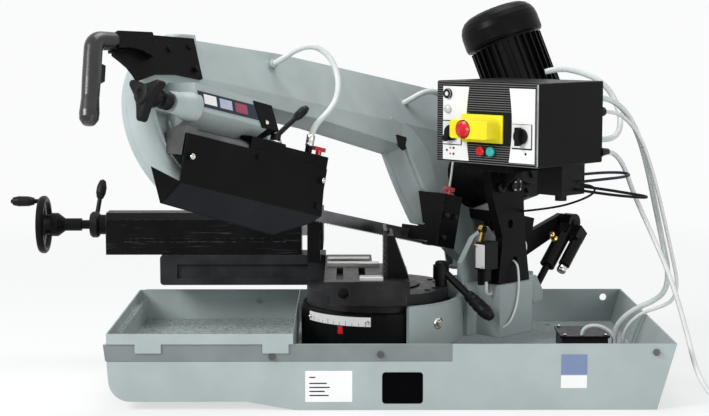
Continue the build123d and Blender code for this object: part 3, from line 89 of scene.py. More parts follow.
# Materials


def new_material(name):
    """A node material with its principled shader."""
    made = bpy.data.materials.new(name)
    made.use_nodes = True
    return made, made.node_tree, made.node_tree.nodes["Principled BSDF"]


def node(tree, kind, **values):
    """A shader node with some of its inputs set by name."""
    made = tree.nodes.new(kind)
    for key, value in values.items():
        made.inputs[key.replace("_", " ")].default_value = value
    return made


def noise(tree, scale, detail=4.0):
    """Noise that stays with the object, in its own metres."""
    where = tree.nodes.new("ShaderNodeTexCoord")
    made = node(tree, "ShaderNodeTexNoise", Scale=scale, Detail=detail)
    tree.links.new(where.outputs["Object"], made.inputs["Vector"])
    return made.outputs["Fac"]


def ramp(tree, source, low, high, start=0.35, end=0.65):
    """A colour between two colours, as a value goes from start to end."""
    made = tree.nodes.new("ShaderNodeValToRGB")
    made.color_ramp.elements[0].position = start
    made.color_ramp.elements[1].position = end
    made.color_ramp.elements[0].color = (*low, 1)
    made.color_ramp.elements[1].color = (*high, 1)
    tree.links.new(source, made.inputs["Fac"])
    return made.outputs["Color"]


def shade(colour, factor):
    """A colour made lighter or darker."""
    return tuple(min(1.0, channel * factor) for channel in colour)


def scaled(tree, source, start, end, low=0.0, high=1.0, clamp=True):
    """A value taken from one range to another."""
    made = tree.nodes.new("ShaderNodeMapRange")
    made.clamp = clamp
    for key, value in (("From Min", start), ("From Max", end), ("To Min", low), ("To Max", high)):
        made.inputs[key].default_value = value
    tree.links.new(source, made.inputs["Value"])
    return made.outputs["Result"]


def product(tree, first, second):
    """Two values multiplied."""
    made = tree.nodes.new("ShaderNodeMath")
    made.operation = "MULTIPLY"
    tree.links.new(first, made.inputs[0])
    tree.links.new(second, made.inputs[1])
    return made.outputs["Value"]


COLOUR_A, COLOUR_B, COLOUR_OUT = 6, 7, 2  # sockets of a mix node that mixes colours


def laid_over(tree, share, under, colour):
    """A colour laid over another where the share says so."""
    made = tree.nodes.new("ShaderNodeMix")
    made.data_type = "RGBA"
    made.inputs[COLOUR_B].default_value = (*colour, 1)
    tree.links.new(share, made.inputs["Factor"])
    tree.links.new(under, made.inputs[COLOUR_A])
    return made.outputs[COLOUR_OUT]


def soft_normal(tree, radius):
    """Normals that look rounded at edges, by a radius in metres."""
    made = node(tree, "ShaderNodeBevel", Radius=radius)
    made.samples = 4
    return made.outputs["Normal"]


def edge_wear(tree, reach, amount):
    """Share of bare metal: only near edges, and there in patches."""
    flat = tree.nodes.new("ShaderNodeNewGeometry")
    soft = soft_normal(tree, reach)
    turn = tree.nodes.new("ShaderNodeVectorMath")
    turn.operation = "DOT_PRODUCT"
    tree.links.new(soft, turn.inputs[0])
    tree.links.new(flat.outputs["Normal"], turn.inputs[1])
    near = scaled(tree, turn.outputs["Value"], 0.985, 0.84)
    patches = scaled(tree, noise(tree, 90.0, 5.0), 0.46, 0.62, 0.0, amount)
    return product(tree, near, patches)


def scratches(tree, amount):
    """Share of scratched paint: fine lines along x, in patches."""
    where = tree.nodes.new("ShaderNodeTexCoord")
    stretch = node(tree, "ShaderNodeMapping", Scale=(14, 420, 420))
    fine = node(tree, "ShaderNodeTexNoise", Scale=1.0, Detail=4.0)
    tree.links.new(where.outputs["Object"], stretch.inputs["Vector"])
    tree.links.new(stretch.outputs["Vector"], fine.inputs["Vector"])
    lines = scaled(tree, fine.outputs["Fac"], 0.60, 0.70)
    patches = scaled(tree, noise(tree, 13.0), 0.50, 0.66, 0.0, amount)
    return product(tree, lines, patches)


def stains(tree, amount):
    """Share of dirt: specks on the faces that look up."""
    flat = tree.nodes.new("ShaderNodeNewGeometry")
    parts = tree.nodes.new("ShaderNodeSeparateXYZ")
    tree.links.new(flat.outputs["Normal"], parts.inputs["Vector"])
    lying = scaled(tree, parts.outputs["Z"], 0.6, 0.9)
    specks = scaled(tree, noise(tree, 170.0, 8.0), 0.46, 0.60, 0.0, amount)
    return product(tree, lying, specks)


GREY = (0.35, 0.405, 0.40)
BLACK = (0.0045, 0.0045, 0.005)
DIRT = (0.07, 0.075, 0.075)
BARE = (0.10, 0.10, 0.11)  # what shows where paint is worn or scratched
SATIN = 0.07  # specular level of the satin blacks, where 0.5 is usual


def finish_surface(
    name, colour, roughness, metal=0.0, mottle=0.08, grain=900.0, bump=0.05, edge=1.2, wear=0.0, scratch=0.0,
    stain=0.0, worn=BARE, coat=0.0, specular=0.5
):
    """Paint, plastic or metal, with mottled colour, fine grain and edges rounded by a radius in millimetres.

    Wear, scratch and stain are the shares of worn edges, scratches and dirt.
    """
    made, tree, shader = new_material(name)
    shader.inputs["Metallic"].default_value = metal
    shader.inputs["Coat Weight"].default_value = coat
    shader.inputs["Specular IOR Level"].default_value = specular
    look = ramp(tree, noise(tree, 14.0), shade(colour, 1 - mottle), shade(colour, 1 + mottle))
    smoothest, roughest = max(0.03, roughness - 0.06), roughness + 0.06
    rough = scaled(tree, noise(tree, 60.0), 0.3, 0.7, smoothest, roughest)
    tree.links.new(rough, shader.inputs["Roughness"])
    soft = soft_normal(tree, edge * MM)
    relief = node(tree, "ShaderNodeBump", Strength=bump, Distance=0.4 * MM)
    tree.links.new(noise(tree, grain, 2.0), relief.inputs["Height"])
    tree.links.new(soft, relief.inputs["Normal"])
    tree.links.new(relief.outputs["Normal"], shader.inputs["Normal"])
    if wear:
        look = laid_over(tree, edge_wear(tree, 2.0 * edge * MM, wear), look, worn)
    if scratch:
        look = laid_over(tree, scratches(tree, scratch), look, worn)
    if stain:
        look = laid_over(tree, stains(tree, stain), look, DIRT)
    tree.links.new(look, shader.inputs["Base Color"])
    return made


def lined_surface(name, dark, light, pitch):
    """A dark panel with fine pale lines along it, one above the other."""
    made, tree, shader = new_material(name)
    where = tree.nodes.new("ShaderNodeTexCoord")
    parts = tree.nodes.new("ShaderNodeSeparateXYZ")
    tree.links.new(where.outputs["Object"], parts.inputs["Vector"])
    count = scaled(tree, parts.outputs["Z"], 0.0, pitch, clamp=False)
    step = tree.nodes.new("ShaderNodeMath")
    step.operation = "PINGPONG"
    step.inputs[1].default_value = 0.5
    tree.links.new(count, step.inputs[0])
    lines = scaled(tree, step.outputs["Value"], 0.32, 0.44)
    ground = ramp(tree, noise(tree, 30.0), shade(dark, 0.85), shade(dark, 1.15))
    tree.links.new(laid_over(tree, lines, ground, light), shader.inputs["Base Color"])
    tree.links.new(scaled(tree, noise(tree, 80.0), 0.3, 0.7, 0.38, 0.5), shader.inputs["Roughness"])
    shader.inputs["Specular IOR Level"].default_value = 0.1
    return made


# Each look: its colour, its roughness and what differs from the usual finish
LOOKS = {
    # Slots of the CAD model
    "grey_paint": (GREY, 0.40, dict(mottle=0.05, grain=700, bump=0.04, edge=1.5)),
    "grey_casting": (GREY, 0.40, dict(mottle=0.06, grain=260, bump=0.06, edge=4.0, specular=0.40)),
    "black_casting": (
        BLACK, 0.40, dict(mottle=0.3, grain=420, bump=0.10, edge=1.5, wear=0.5, specular=SATIN)
    ),
    "black_paint": (BLACK, 0.36, dict(mottle=0.2, grain=600, bump=0.06, wear=0.2, specular=SATIN)),
    "motor_black": (BLACK, 0.26, dict(mottle=0.2, grain=500, bump=0.06, edge=1.0, specular=0.12)),
    "black_plastic": (shade(BLACK, 1.5), 0.42, dict(mottle=0.1, grain=1400, bump=0.1, specular=0.14)),
    "panel_plastic": (BLACK, 0.38, dict(mottle=0.1, grain=1200, edge=1.0, specular=SATIN)),
    "steel": ((0.42, 0.42, 0.41), 0.34, dict(metal=1.0, mottle=0.15, grain=300, edge=0.6)),
    "blade_steel": ((0.22, 0.22, 0.23), 0.36, dict(metal=1.0, mottle=0.2, grain=300, edge=0.3)),
    "dark_iron": (
        (0.018, 0.018, 0.019), 0.42,
        dict(mottle=0.5, grain=240, bump=0.25, wear=0.7, scratch=0.5, worn=(0.12, 0.12, 0.12), specular=0.14)
    ),
    "zinc": ((0.62, 0.61, 0.58), 0.22, dict(metal=1.0, mottle=0.06, edge=0.6)),
    "brass": ((0.62, 0.43, 0.15), 0.28, dict(metal=1.0, mottle=0.1, edge=0.6)),
    "red_plastic": ((0.56, 0.012, 0.016), 0.28, dict(mottle=0.05, edge=1.0, coat=0.3)),
    "green_plastic": ((0.03, 0.42, 0.42), 0.28, dict(mottle=0.05, edge=0.8, coat=0.3)),
    "yellow_plastic": ((0.85, 0.73, 0.016), 0.36, dict(mottle=0.04, edge=1.0, coat=0.2)),
    "white_plastic": ((0.72, 0.73, 0.72), 0.40, dict(mottle=0.03, grain=900, edge=0.6)),
    "white_hose": ((0.60, 0.64, 0.63), 0.40, dict(mottle=0.10, grain=900, bump=0.3, edge=0.5)),
    "white_cable": ((0.64, 0.65, 0.63), 0.42, dict(mottle=0.06, grain=700, edge=0.5)),
    # Pieces that differ from the others of their slot
    "scuffed_black": (
        BLACK, 0.38, dict(mottle=0.3, grain=420, bump=0.10, edge=1.5, wear=0.7, scratch=0.6, specular=SATIN)
    ),
    "dusty_black": (
        (0.022, 0.023, 0.024), 0.5, dict(mottle=0.4, grain=300, bump=0.15, wear=0.5, specular=0.1)
    ),
    "grip_rubber": ((0.011, 0.011, 0.012), 0.29, dict(mottle=0.1, grain=1500, bump=0.06, specular=0.5)),
    "dull_steel": ((0.13, 0.13, 0.13), 0.38, dict(metal=1.0, mottle=0.25, grain=300, edge=0.8)),
    "stained_paint": (GREY, 0.40, dict(mottle=0.05, grain=700, bump=0.04, edge=1.5, stain=0.75)),
    "dusted_paint": (GREY, 0.40, dict(mottle=0.05, grain=700, bump=0.04, edge=1.5, stain=0.3)),
    # Small pieces that are in this scene alone
    "white_print": ((0.80, 0.81, 0.80), 0.42, dict(mottle=0.02, grain=900, bump=0.02, edge=0.3)),
    "blue_print": ((0.16, 0.22, 0.36), 0.42, dict(mottle=0.03, grain=900, bump=0.02, edge=0.3)),
    "lamp_glass": ((0.52, 0.54, 0.52), 0.15, dict(mottle=0.15, grain=300, edge=0.6, coat=0.6)),
    "silver": ((0.62, 0.63, 0.63), 0.30, dict(metal=1.0, mottle=0.06, grain=500, edge=0.5)),
    # painted shade: the near-black inside seen through the window of the base
    "dark_inside": ((0.0015, 0.0015, 0.002), 0.8, dict(mottle=0.2, bump=0.02, edge=0.2, specular=0.02)),
    "blue_black": ((0.010, 0.016, 0.032), 0.34, dict(mottle=0.2, edge=0.4, specular=0.3)),
    "pale_blue": ((0.42, 0.46, 0.58), 0.40, dict(mottle=0.12, grain=500, edge=0.2)),
    "dull_red": ((0.26, 0.04, 0.09), 0.40, dict(mottle=0.2, grain=500, edge=0.2)),
    # painted sheen: a bluish reflection on the guard's bent-in lower part
    "guard_sheen": ((0.007, 0.0085, 0.012), 0.30, dict(mottle=0.2, grain=700, specular=0.14)),
    "clear_line": ((0.50, 0.53, 0.50), 0.2, dict(mottle=0.1, grain=600, edge=0.3, coat=0.5)),
    # painted shade for the band along the front of the base, and a painted shadow for its fold
    "band_paint": (shade(GREY, 0.50), 0.42, dict(mottle=0.08, grain=700, edge=0.2)),
    "fold_shadow": (shade(GREY, 0.30), 0.5, dict(mottle=0.05, edge=0.2)),
}
materials = {}
for name, (colour, roughness, more) in LOOKS.items():
    materials[name] = finish_surface(name, colour, roughness, **more)
materials["lined_panel"] = lined_surface("lined_panel", shade(BLACK, 1.2), (0.20, 0.20, 0.21), 4.6 * MM)

slot_of = {part["node"]: part["material_slot"] for part in frame["record"]["subparts"]}
for name, piece in frame["nodes"].items():
    for holder in piece.material_slots:
        holder.material = materials[slot_of[name]]
own_looks = {
    "chip_tray": "stained_paint", "tray_deck": "dusted_paint", "vise_beam": "scuffed_black",
    "moving_jaw": "scuffed_black", "vise_guide": "dusty_black", "control_panel": "lined_panel",
    "handle_grip": "grip_rubber", "guide_bar": "dull_steel", "base_bolts": "dull_steel",
    "cylinder_rod": "motor_black",
}
for name, look in own_looks.items():
    frame["nodes"][name].material_slots[0].material = materials[look]

# Camera, light and floor

LOOK_DOWN, LOOK_RIGHT = 6.63, 0.34  # degrees away from +Y
eye = bpy.data.cameras.new("camera")
eye.lens, eye.sensor_width = 81.24, 36.0
camera = bpy.data.objects.new("camera", eye)
camera.location = (-0.069, -3.360, 0.753)
camera.rotation_euler = (radians(90 - LOOK_DOWN), 0, radians(-LOOK_RIGHT))
scene.collection.objects.link(camera)
scene.camera = camera
scene.view_settings.view_transform = "Standard"

PAPER = (0.96, 0.965, 0.965, 1)


def background(tree, plain, share=None):
    """Near white to the camera and in reflections, or a share of it with light and shadow for the rest."""
    path = tree.nodes.new("ShaderNodeLightPath")
    seen = path.outputs["Is Camera Ray"]
    for kind in ("Is Glossy Ray", "Is Transmission Ray"):
        either = tree.nodes.new("ShaderNodeMath")
        either.operation = "MAXIMUM"
        tree.links.new(seen, either.inputs[0])
        tree.links.new(path.outputs[kind], either.inputs[1])
        seen = either.outputs["Value"]
    if share:
        seen = product(tree, seen, share)
    white = node(tree, "ShaderNodeEmission", Color=PAPER)
    mixed = tree.nodes.new("ShaderNodeMixShader")
    tree.links.new(seen, mixed.inputs["Fac"])
    tree.links.new(plain, mixed.inputs[1])
    tree.links.new(white.outputs["Emission"], mixed.inputs[2])
    return mixed.outputs["Shader"]


FLOOR_SIZE, FLOOR_DROP = 60, 0.0005  # in metres
NEAR_FLOOR, FAR_FLOOR = 0.7, 3.0  # distances from the origin, in metres
NEAR_SHARE = 0.66  # of plain paper in the near floor; the rest of it shows light and shadow
bpy.ops.mesh.primitive_plane_add(size=FLOOR_SIZE, location=(0, 0, -FLOOR_DROP))
floor = bpy.context.object
floor.name = "floor"
floor_look, floor_tree, floor_shader = new_material("floor")
floor_shader.inputs["Base Color"].default_value = (0.86, 0.86, 0.86, 1)
floor_shader.inputs["Roughness"].default_value = 0.9
spot = floor_tree.nodes.new("ShaderNodeNewGeometry")
reach = floor_tree.nodes.new("ShaderNodeVectorMath")
reach.operation = "LENGTH"
floor_tree.links.new(spot.outputs["Position"], reach.inputs[0])
paper = scaled(floor_tree, reach.outputs["Value"], NEAR_FLOOR, FAR_FLOOR, NEAR_SHARE, 1.0)
floor_surface = background(floor_tree, floor_shader.outputs["BSDF"], paper)
floor_tree.links.new(floor_surface, floor_tree.nodes["Material Output"].inputs["Surface"])
floor.data.materials.append(floor_look)

world = bpy.data.worlds.new("studio")
scene.world = world
world.use_nodes = True
sky = world.node_tree
ambient = sky.nodes["Background"]
ambient.inputs["Color"].default_value = (0.95, 0.97, 1.0, 1)
ambient.inputs["Strength"].default_value = 0.42
sky.links.new(background(sky, ambient.outputs["Background"]), sky.nodes["World Output"].inputs["Surface"])


def softbox(name, where, aim, size, power):
    """A square soft lamp."""
    lamp = bpy.data.lights.new(name, "AREA")
    lamp.shape = "SQUARE"
    lamp.size, lamp.energy = size, power
    made = bpy.data.objects.new(name, lamp)
    made.location = where
    made.rotation_euler = (Vector(aim) - Vector(where)).to_track_quat("-Z", "Y").to_euler()
    scene.collection.objects.link(made)


softbox("key", (-2.7, -1.9, 2.3), (0, 0, 0.4), 1.4, 105)
softbox("front", (2.2, -3.3, 0.8), (0.3, 0, 0.2), 1.8, 44)
softbox("top", (0.2, 0.4, 3.0), (0, 0, 0.3), 1.6, 40)

# Cords


def spline(name, points):
    """A smooth line with the given control points, in metres."""
    line = bpy.data.curves.new(name, "CURVE")
    line.dimensions = "3D"
    run = line.splines.new("NURBS")
    run.points.add(len(points) - 1)
    for knot, point in zip(run.points, points):
        knot.co = (*point, 1)
    run.order_u = 3
    run.use_endpoint_u = True
    run.resolution_u = 8
    return line


def line_points(name, points):
    """Points along the smooth line."""
    holder = bpy.data.objects.new(name + "_line", spline(name + "_line", points))
    scene.collection.objects.link(holder)
    mesh = bpy.data.meshes.new_from_object(holder)
    path = [vertex.co.copy() for vertex in mesh.vertices]
    bpy.data.objects.remove(holder)
    return path


def hose(name, points, diameter, look, sides=14):
    """A mesh tube along the smooth line of its points. Returns it with that line."""
    path = line_points(name, points)
    shape = bmesh.new()
    heading = (path[1] - path[0]).normalized()
    across = heading.orthogonal().normalized()
    rings = []
    for index, here in enumerate(path):
        ahead = path[min(index + 1, len(path) - 1)]
        behind = path[max(index - 1, 0)]
        turn = heading.rotation_difference((ahead - behind).normalized())
        heading, across = turn @ heading, turn @ across
        up = heading.cross(across)
        ring = []
        for side in range(sides):
            angle = 2 * pi * side / sides
            ring.append(shape.verts.new(here + (across * cos(angle) + up * sin(angle)) * diameter / 2))
        rings.append(ring)
    for first, second in zip(rings, rings[1:]):
        for side in range(sides):
            corner = (side + 1) % sides
            shape.faces.new((first[side], first[corner], second[corner], second[side])).smooth = True
    shape.faces.new(rings[0][::-1])
    shape.faces.new(rings[-1])
    bmesh.ops.recalc_face_normals(shape, faces=shape.faces)
    mesh = bpy.data.meshes.new(name)
    shape.to_mesh(mesh)
    shape.free()
    mesh.materials.append(materials[look])
    made = bpy.data.objects.new(name, mesh)
    scene.collection.objects.link(made)
    return made, path


def box_exit(y, z, run=48.0):
    """A cord's first run, straight out of the back of the control box."""
    return placed(SWIVEL, [(BOX_REAR, y, z), (BOX_REAR + run, y, z)])


def held_cord(name, space, points, diameter, look, body):
    """A short cord or a raised line that one body carries, through points of a frame."""
    made = hose(name, placed(space, points), diameter * MM, look, sides=10)[0]
    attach(made, body)


# Conduit and wire from the control box into the right tray
conduit_points = box_exit(*CONDUIT_EXIT) + placed(BASE, [
    (506, -54, 578), (534, -58, 532), (554, -60, 470), (574, -56, 385), (598, -40, 290), (614, -24, 230),
    (612, -8, 184), (588, 8, 160), (556, 20, 144), (528, 30, 120), (512, 36, 92), (512, 36, DECK_Z),
])
wire_points = box_exit(*WIRE_EXIT) + placed(BASE, [
    (512, -66, 556), (544, -70, 512), (568, -76, 440), (592, -72, 350), (616, -54, 262), (631, -38, 208),
    (627, -22, 168), (601, -6, 150), (567, 4, 138), (540, 10, 114), (526, 13, 86), (526, 13, DECK_Z),
])
conduit, conduit_path = hose("control_conduit", conduit_points, 12 * MM, "white_hose")
wire, wire_path = hose("control_wire", wire_points, 8 * MM, "white_cable")
for cable, path, diameter in ((conduit, conduit_path, 12), (wire, wire_path, 8)):
    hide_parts("control_cables")
    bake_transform(cable)

# Mains lead, with its coil on the floor beside the base
COIL_R, COIL_TURNS, COIL_PITCH = 55.0, 6, 11.2
COIL_CENTRE = (775.0, -272.0)
COIL_Y = COIL_CENTRE[1] - COIL_R
COIL_RUN = 50.0  # straight run before the coil
FLOOR_Z, PLUG_Z = 5.3, 19.0  # heights of the lead on the floor and at its plug
COIL_SLOPE = COIL_PITCH / (2 * pi * COIL_R)
COIL_FOOT = FLOOR_Z + COIL_SLOPE * COIL_RUN
COIL_TOP = COIL_FOOT + COIL_PITCH * COIL_TURNS
TURN_POINTS = 16
SWELL = 1 / cos(pi / TURN_POINTS)  # control points stand a little outside the coil's round
coil_points = []
for step in range(COIL_TURNS * TURN_POINTS):
    angle = 2 * pi * (step + 0.5) / TURN_POINTS - pi / 2
    height = COIL_FOOT + COIL_PITCH * (step + 0.5) / TURN_POINTS
    x = COIL_CENTRE[0] + COIL_R * SWELL * cos(angle)
    y = COIL_CENTRE[1] + COIL_R * SWELL * sin(angle)
    coil_points.append((x, y, height))
lead_points = box_exit(*LEAD_EXIT, 40) + placed(BASE, [
    (497, -71, 474), (513, -62, 446), (524, -70, 412), (540, -94, 368), (562, -130, 312), (584, -168, 252),
    (600, -206, 190), (611, -244, 130), (620, -280, 74), (640, -308, 32), (678, COIL_Y + 3, 10),
    (COIL_CENTRE[0] - COIL_RUN, COIL_Y, FLOOR_Z), *coil_points,
    (COIL_CENTRE[0] + 40, COIL_Y, COIL_TOP + 40 * COIL_SLOPE), (COIL_CENTRE[0] + 75, COIL_Y, COIL_TOP - 13),
    (COIL_CENTRE[0] + 105, COIL_Y, COIL_TOP - 35), (COIL_CENTRE[0] + 131, COIL_Y, PLUG_Z + 3),
    (COIL_CENTRE[0] + 159, COIL_Y, PLUG_Z), (COIL_CENTRE[0] + 187, COIL_Y, PLUG_Z),
])
lead, lead_path = hose("mains_lead", lead_points, 10 * MM, "white_cable")
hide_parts("mains_lead")
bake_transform(lead)

# Conduit from the motor to the control box
motor_points = placed(BASE, [
    (375, 200, 643), (408, 200, 652), (453, 200, 643), (498, 200, 625), (528, 196, 590), (542, 168, 540),
    (522, 108, 502), (464, 54, 502), (404, 26, 532), (366, 12, 554), (341, -13, 560),
])
motor_conduit, motor_path = hose("motor_conduit", motor_points, 13 * MM, "white_hose")
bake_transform(motor_conduit)

# Coolant hose from the bow to the left guide
hose_points = placed(WHEELS, [(*HOSE_BOSS, BOSS_N), (*HOSE_BOSS, BOSS_N + 32)]) + placed(HEAD, [
    (-290, 34, 570), (-260, 16, 585), (-228, -2, 570), (-212, -20, 530), (-222, -36, 484), (-256, -50, 448),
    (-288, -58, 422), (*NIPPLE, NIPPLE_Z + 24), (*NIPPLE, NIPPLE_Z),
])
coolant, coolant_path = hose("coolant_hose", hose_points, 12 * MM, "white_hose")
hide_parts("coolant_hose")
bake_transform(coolant)

# Small pieces


def face(space, origin, right, up):
    """A frame drawn on a face: x to its right, y up it and z out of it. Its origin is in millimetres."""
    across, along = Vector(right).normalized(), Vector(up).normalized()
    out = across.cross(along)
    turn = Matrix((across, along, out)).transposed().to_4x4()
    return space @ Matrix.Translation(Vector(origin) * MM) @ turn


def moved(space, x, y, z=0.0):
    """A frame moved in itself by millimetres."""
    return space @ Matrix.Translation(Vector((x, y, z)) * MM)


def place(name, shape, space, look, body, bevel=0.0):
    """Makes an object of a shape drawn in millimetres in a frame, and lets it ride on a body."""
    bmesh.ops.recalc_face_normals(shape, faces=shape.faces)
    mesh = bpy.data.meshes.new(name)
    shape.to_mesh(mesh)
    shape.free()
    mesh.transform(space @ Matrix.Scale(MM, 4))
    mesh.materials.append(materials[look])
    made = bpy.data.objects.new(name, mesh)
    scene.collection.objects.link(made)
    if bevel:
        soft = made.modifiers.new("edges", "BEVEL")
        soft.width = bevel * MM
        soft.segments = 2
        soft.limit_method = "ANGLE"
        soft.harden_normals = False
    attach(made, body)
    return made


def slab(name, space, outline, low, high, look, body, bevel=0.3):
    """A flat piece of an outline, from one height to another over its face."""
    shape = bmesh.new()
    bottom = [shape.verts.new((x, y, low)) for x, y in outline]
    top = [shape.verts.new((x, y, high)) for x, y in outline]
    shape.faces.new(bottom[::-1])
    shape.faces.new(top)
    for index in range(len(outline)):
        after = (index + 1) % len(outline)
        shape.faces.new((bottom[index], bottom[after], top[after], top[index]))
    return place(name, shape, space, look, body, bevel)


def strip(name, space, sections, look, body, bevel=0.0):
    """A closed strip through sections of four corners."""
    shape = bmesh.new()
    rings = [[shape.verts.new(corner) for corner in section] for section in sections]
    for first, second in zip(rings, rings[1:]):
        for corner in range(4):
            after = (corner + 1) % 4
            shape.faces.new((first[corner], first[after], second[after], second[corner]))
    shape.faces.new(rings[0])
    shape.faces.new(rings[-1])
    return place(name, shape, space, look, body, bevel)


def turned(name, space, profile, look, body, steps=28, sides=None):
    """A piece turned about the face's normal from its profile of radius and height, flat-sided if asked."""
    shape = bmesh.new()
    count = sides or steps
    rings = []
    for radius, height in profile:
        if radius == 0:
            rings.append([shape.verts.new((0, 0, height))])
            continue
        ring = []
        for step in range(count):
            angle = 2 * pi * (step + 0.5) / count
            ring.append(shape.verts.new((radius * cos(angle), radius * sin(angle), height)))
        rings.append(ring)
    for first, second in zip(rings, rings[1:]):
        for step in range(count):
            after = (step + 1) % count
            corners = []
            for ring, index in ((first, step), (first, after), (second, after), (second, step)):
                vertex = ring[index % len(ring)]
                if vertex not in corners:
                    corners.append(vertex)
            shape.faces.new(corners).smooth = sides is None
    for ring in (rings[0], rings[-1]):
        if len(ring) > 1:
            shape.faces.new(ring)
    return place(name, shape, space, look, body)


def rounded(left, right, low, high, radius, steps=5):
    """Outline of a rectangle with round corners."""
    outline = []
    corners = ((right - radius, low + radius, -90), (right - radius, high - radius, 0),
               (left + radius, high - radius, 90), (left + radius, low + radius, 180))
    for x, y, start in corners:
        for step in range(steps + 1):
            angle = radians(start + 90 * step / steps)
            outline.append((x + radius * cos(angle), y + radius * sin(angle)))
    return outline


def arc(centre, radius, start, end, height, steps=24):
    """Points of an arc at a height in a frame, between two angles in degrees."""
    turns = [radians(start + (end - start) * step / steps) for step in range(steps + 1)]
    return [(centre[0] + radius * cos(turn), centre[1] + radius * sin(turn), height) for turn in turns]


WASHER_T, CHAMFER = 1.4, 0.8


def hex_bolt(name, space, size, body, look="zinc"):
    """A hexagon bolt head with its washer; size is across the flats."""
    washer_r, flat_r, corner_r = size * 0.95, size * 0.5, size * 0.577
    washer = [(washer_r, 0), (washer_r, WASHER_T), (flat_r, WASHER_T)]
    turned(name + "_washer", space, washer, look, body)
    tall = WASHER_T + size * 0.6
    head = [(corner_r, WASHER_T), (corner_r, tall - CHAMFER), (flat_r, tall), (0, tall)]
    turned(name, space, head, look, body, sides=6)


def cap_screw(name, space, size, body, look="zinc"):
    """A round cap screw with its socket; size is the head's diameter."""
    half, tall = size / 2, size * 0.55
    socket_z = tall - size * 0.3
    head = [(half, 0), (half, tall - CHAMFER), (half - CHAMFER, tall)]
    socket = [(half * 0.55, tall), (half * 0.5, socket_z), (0, socket_z)]
    turned(name, space, head + socket, look, body)


# Window, blank plate with plain rules, and blank notice on the front of the base
FRONT = face(BASE, (0, -300, 0), (1, 0, 0), (0, 0, 1))
# Near-black sheet behind the window: painted shade for the inside of the base
slab("window_panel", FRONT, rounded(3.2, 82.8, 12.2, 74.8, 2.8), -2.8, -1.6, "dark_inside", "base")
PLATE_T, RULE_LEFT = 0.6, -139
slab("rating_plate", FRONT, rounded(-147, -55, 16, 78, 2), 0, PLATE_T, "white_print", "base")
for index, (z, wide) in enumerate(((64, 12), (52, 34), (44, 40), (36, 30), (28, 38))):
    rule = rounded(RULE_LEFT, RULE_LEFT + wide, z, z + 2.4, 0.8)
    slab(f"plate_rule_{index}", FRONT, rule, PLATE_T, 0.8, "black_plastic", "base", 0)
slab("notice_top", FRONT, rounded(352, 403, 70, 110, 1.5), 0, 0.5, "blue_print", "base")
slab("notice_low", FRONT, rounded(352, 403, 43, 68.5, 1.5), 0, 0.5, "white_print", "base")

# Mitre scale round the drum, with its marks and pointer
DRUM_R, SCALE_LOW, SCALE_HIGH = 162.0, 138.0, 157.0
SCALE_START, SCALE_END = -151.0, -96.0
SCREW_SEAT = DRUM_R + 1


def drum_band(name, start, end, low, high, lift, thick, look, steps):
    """A strip bent round the drum, from one angle to another."""
    near, far = DRUM_R + lift, DRUM_R + (lift + thick)
    sections = []
    for step in range(steps + 1):
        angle = radians(start + (end - start) * step / steps)
        corners = ((near, low), (far, low), (far, high), (near, high))
        sections.append([(radius * cos(angle), radius * sin(angle), z) for radius, z in corners])
    strip(name, BASE, sections, look, "base")


drum_band("mitre_scale", SCALE_START, SCALE_END, SCALE_LOW, SCALE_HIGH, 0.1, 0.8, "white_print", 30)
for mark in range(10):
    angle = SCALE_START + 6 + mark * 5
    foot = SCALE_LOW + 1
    tall = 9 if mark % 3 == 0 else 5
    drum_band(f"mitre_mark_{mark}", angle, angle + 0.3, foot, foot + tall, 0.9, 0.15, "black_plastic", 1)
for index, angle in enumerate((radians(SCALE_START + 2), radians(SCALE_END - 2))):
    radial = (cos(angle), sin(angle), 0)
    spot = (SCREW_SEAT * radial[0], SCREW_SEAT * radial[1], (SCALE_LOW + SCALE_HIGH) / 2)
    cap_screw(f"scale_screw_{index}", face(BASE, spot, (-radial[1], radial[0], 0), (0, 0, 1)), 7, "base")
drum_band("mitre_pointer", -121, -117, 120, 136, 0.1, 2.0, "red_plastic", 4)

# Control panel
PANEL = face(SWIVEL, (24, -145, 0), (0, -1, 0), (0, 0, 1))
PRINT_T = 0.5  # thickness of the white strips


def waisted(outer, inner, waist, low, high, steps=14):
    """Outline of a panel strip whose inner edge curves in."""
    outline = [(outer, low), (outer, high)]
    for step in range(steps + 1):
        share = step / steps
        outline.append((inner + (waist - inner) * sin(pi * share), high + (low - high) * share))
    return outline


slab("panel_strip_left", PANEL, waisted(17, 86, 79, 475, 624)[::-1], 0, PRINT_T, "white_print", "swivel", 0)
slab("panel_strip_right", PANEL, waisted(254, 190, 197, 478, 624), 0, PRINT_T, "white_print", "swivel", 0)
slab("panel_edge", PANEL, rounded(258.5, 262, 473, 632, 1), 0, 1.2, "silver", "swivel")
SOCKET = [(10.3, PRINT_T), (10.3, 5), (9, 7), (5, 7), (4, 5), (0, 5)]
turned("socket_cap", moved(PANEL, 31, 609), SOCKET, "black_plastic", "swivel")
LAMP = [(8.4, PRINT_T), (8.4, 4.5), (7, 6.4), (0, 7.2)]
turned("power_lamp", moved(PANEL, 31, 578), LAMP, "lamp_glass", "swivel")
DOT = [(2.4, PRINT_T), (2.4, 1.2), (0, 1.5)]
for index, (u, z) in enumerate(((28, 494), (46, 499), (46, 487), (232, 497))):
    turned(f"panel_dot_{index}", moved(PANEL, u, z), DOT, "black_plastic", "swivel", 16)
LIGHT = [(1.9, PRINT_T), (1.9, 1.2), (0, 1.7)]
for index, (u, z) in enumerate(((37, 499), (37, 487))):
    turned(f"panel_light_{index}", moved(PANEL, u, z), LIGHT, "red_plastic", "swivel", 16)
slab("stop_plate", PANEL, rounded(88, 194, 510.5, 575.5, 2), PRINT_T, 1.8, "black_plastic", "swivel")
for index, u in enumerate((42, 222)):
    shadow = rounded(u - 25, u + 26, 505, 555, 2)
    slab(f"switch_shadow_{index}", PANEL, shadow, PRINT_T, 1.2, "black_plastic", "swivel")

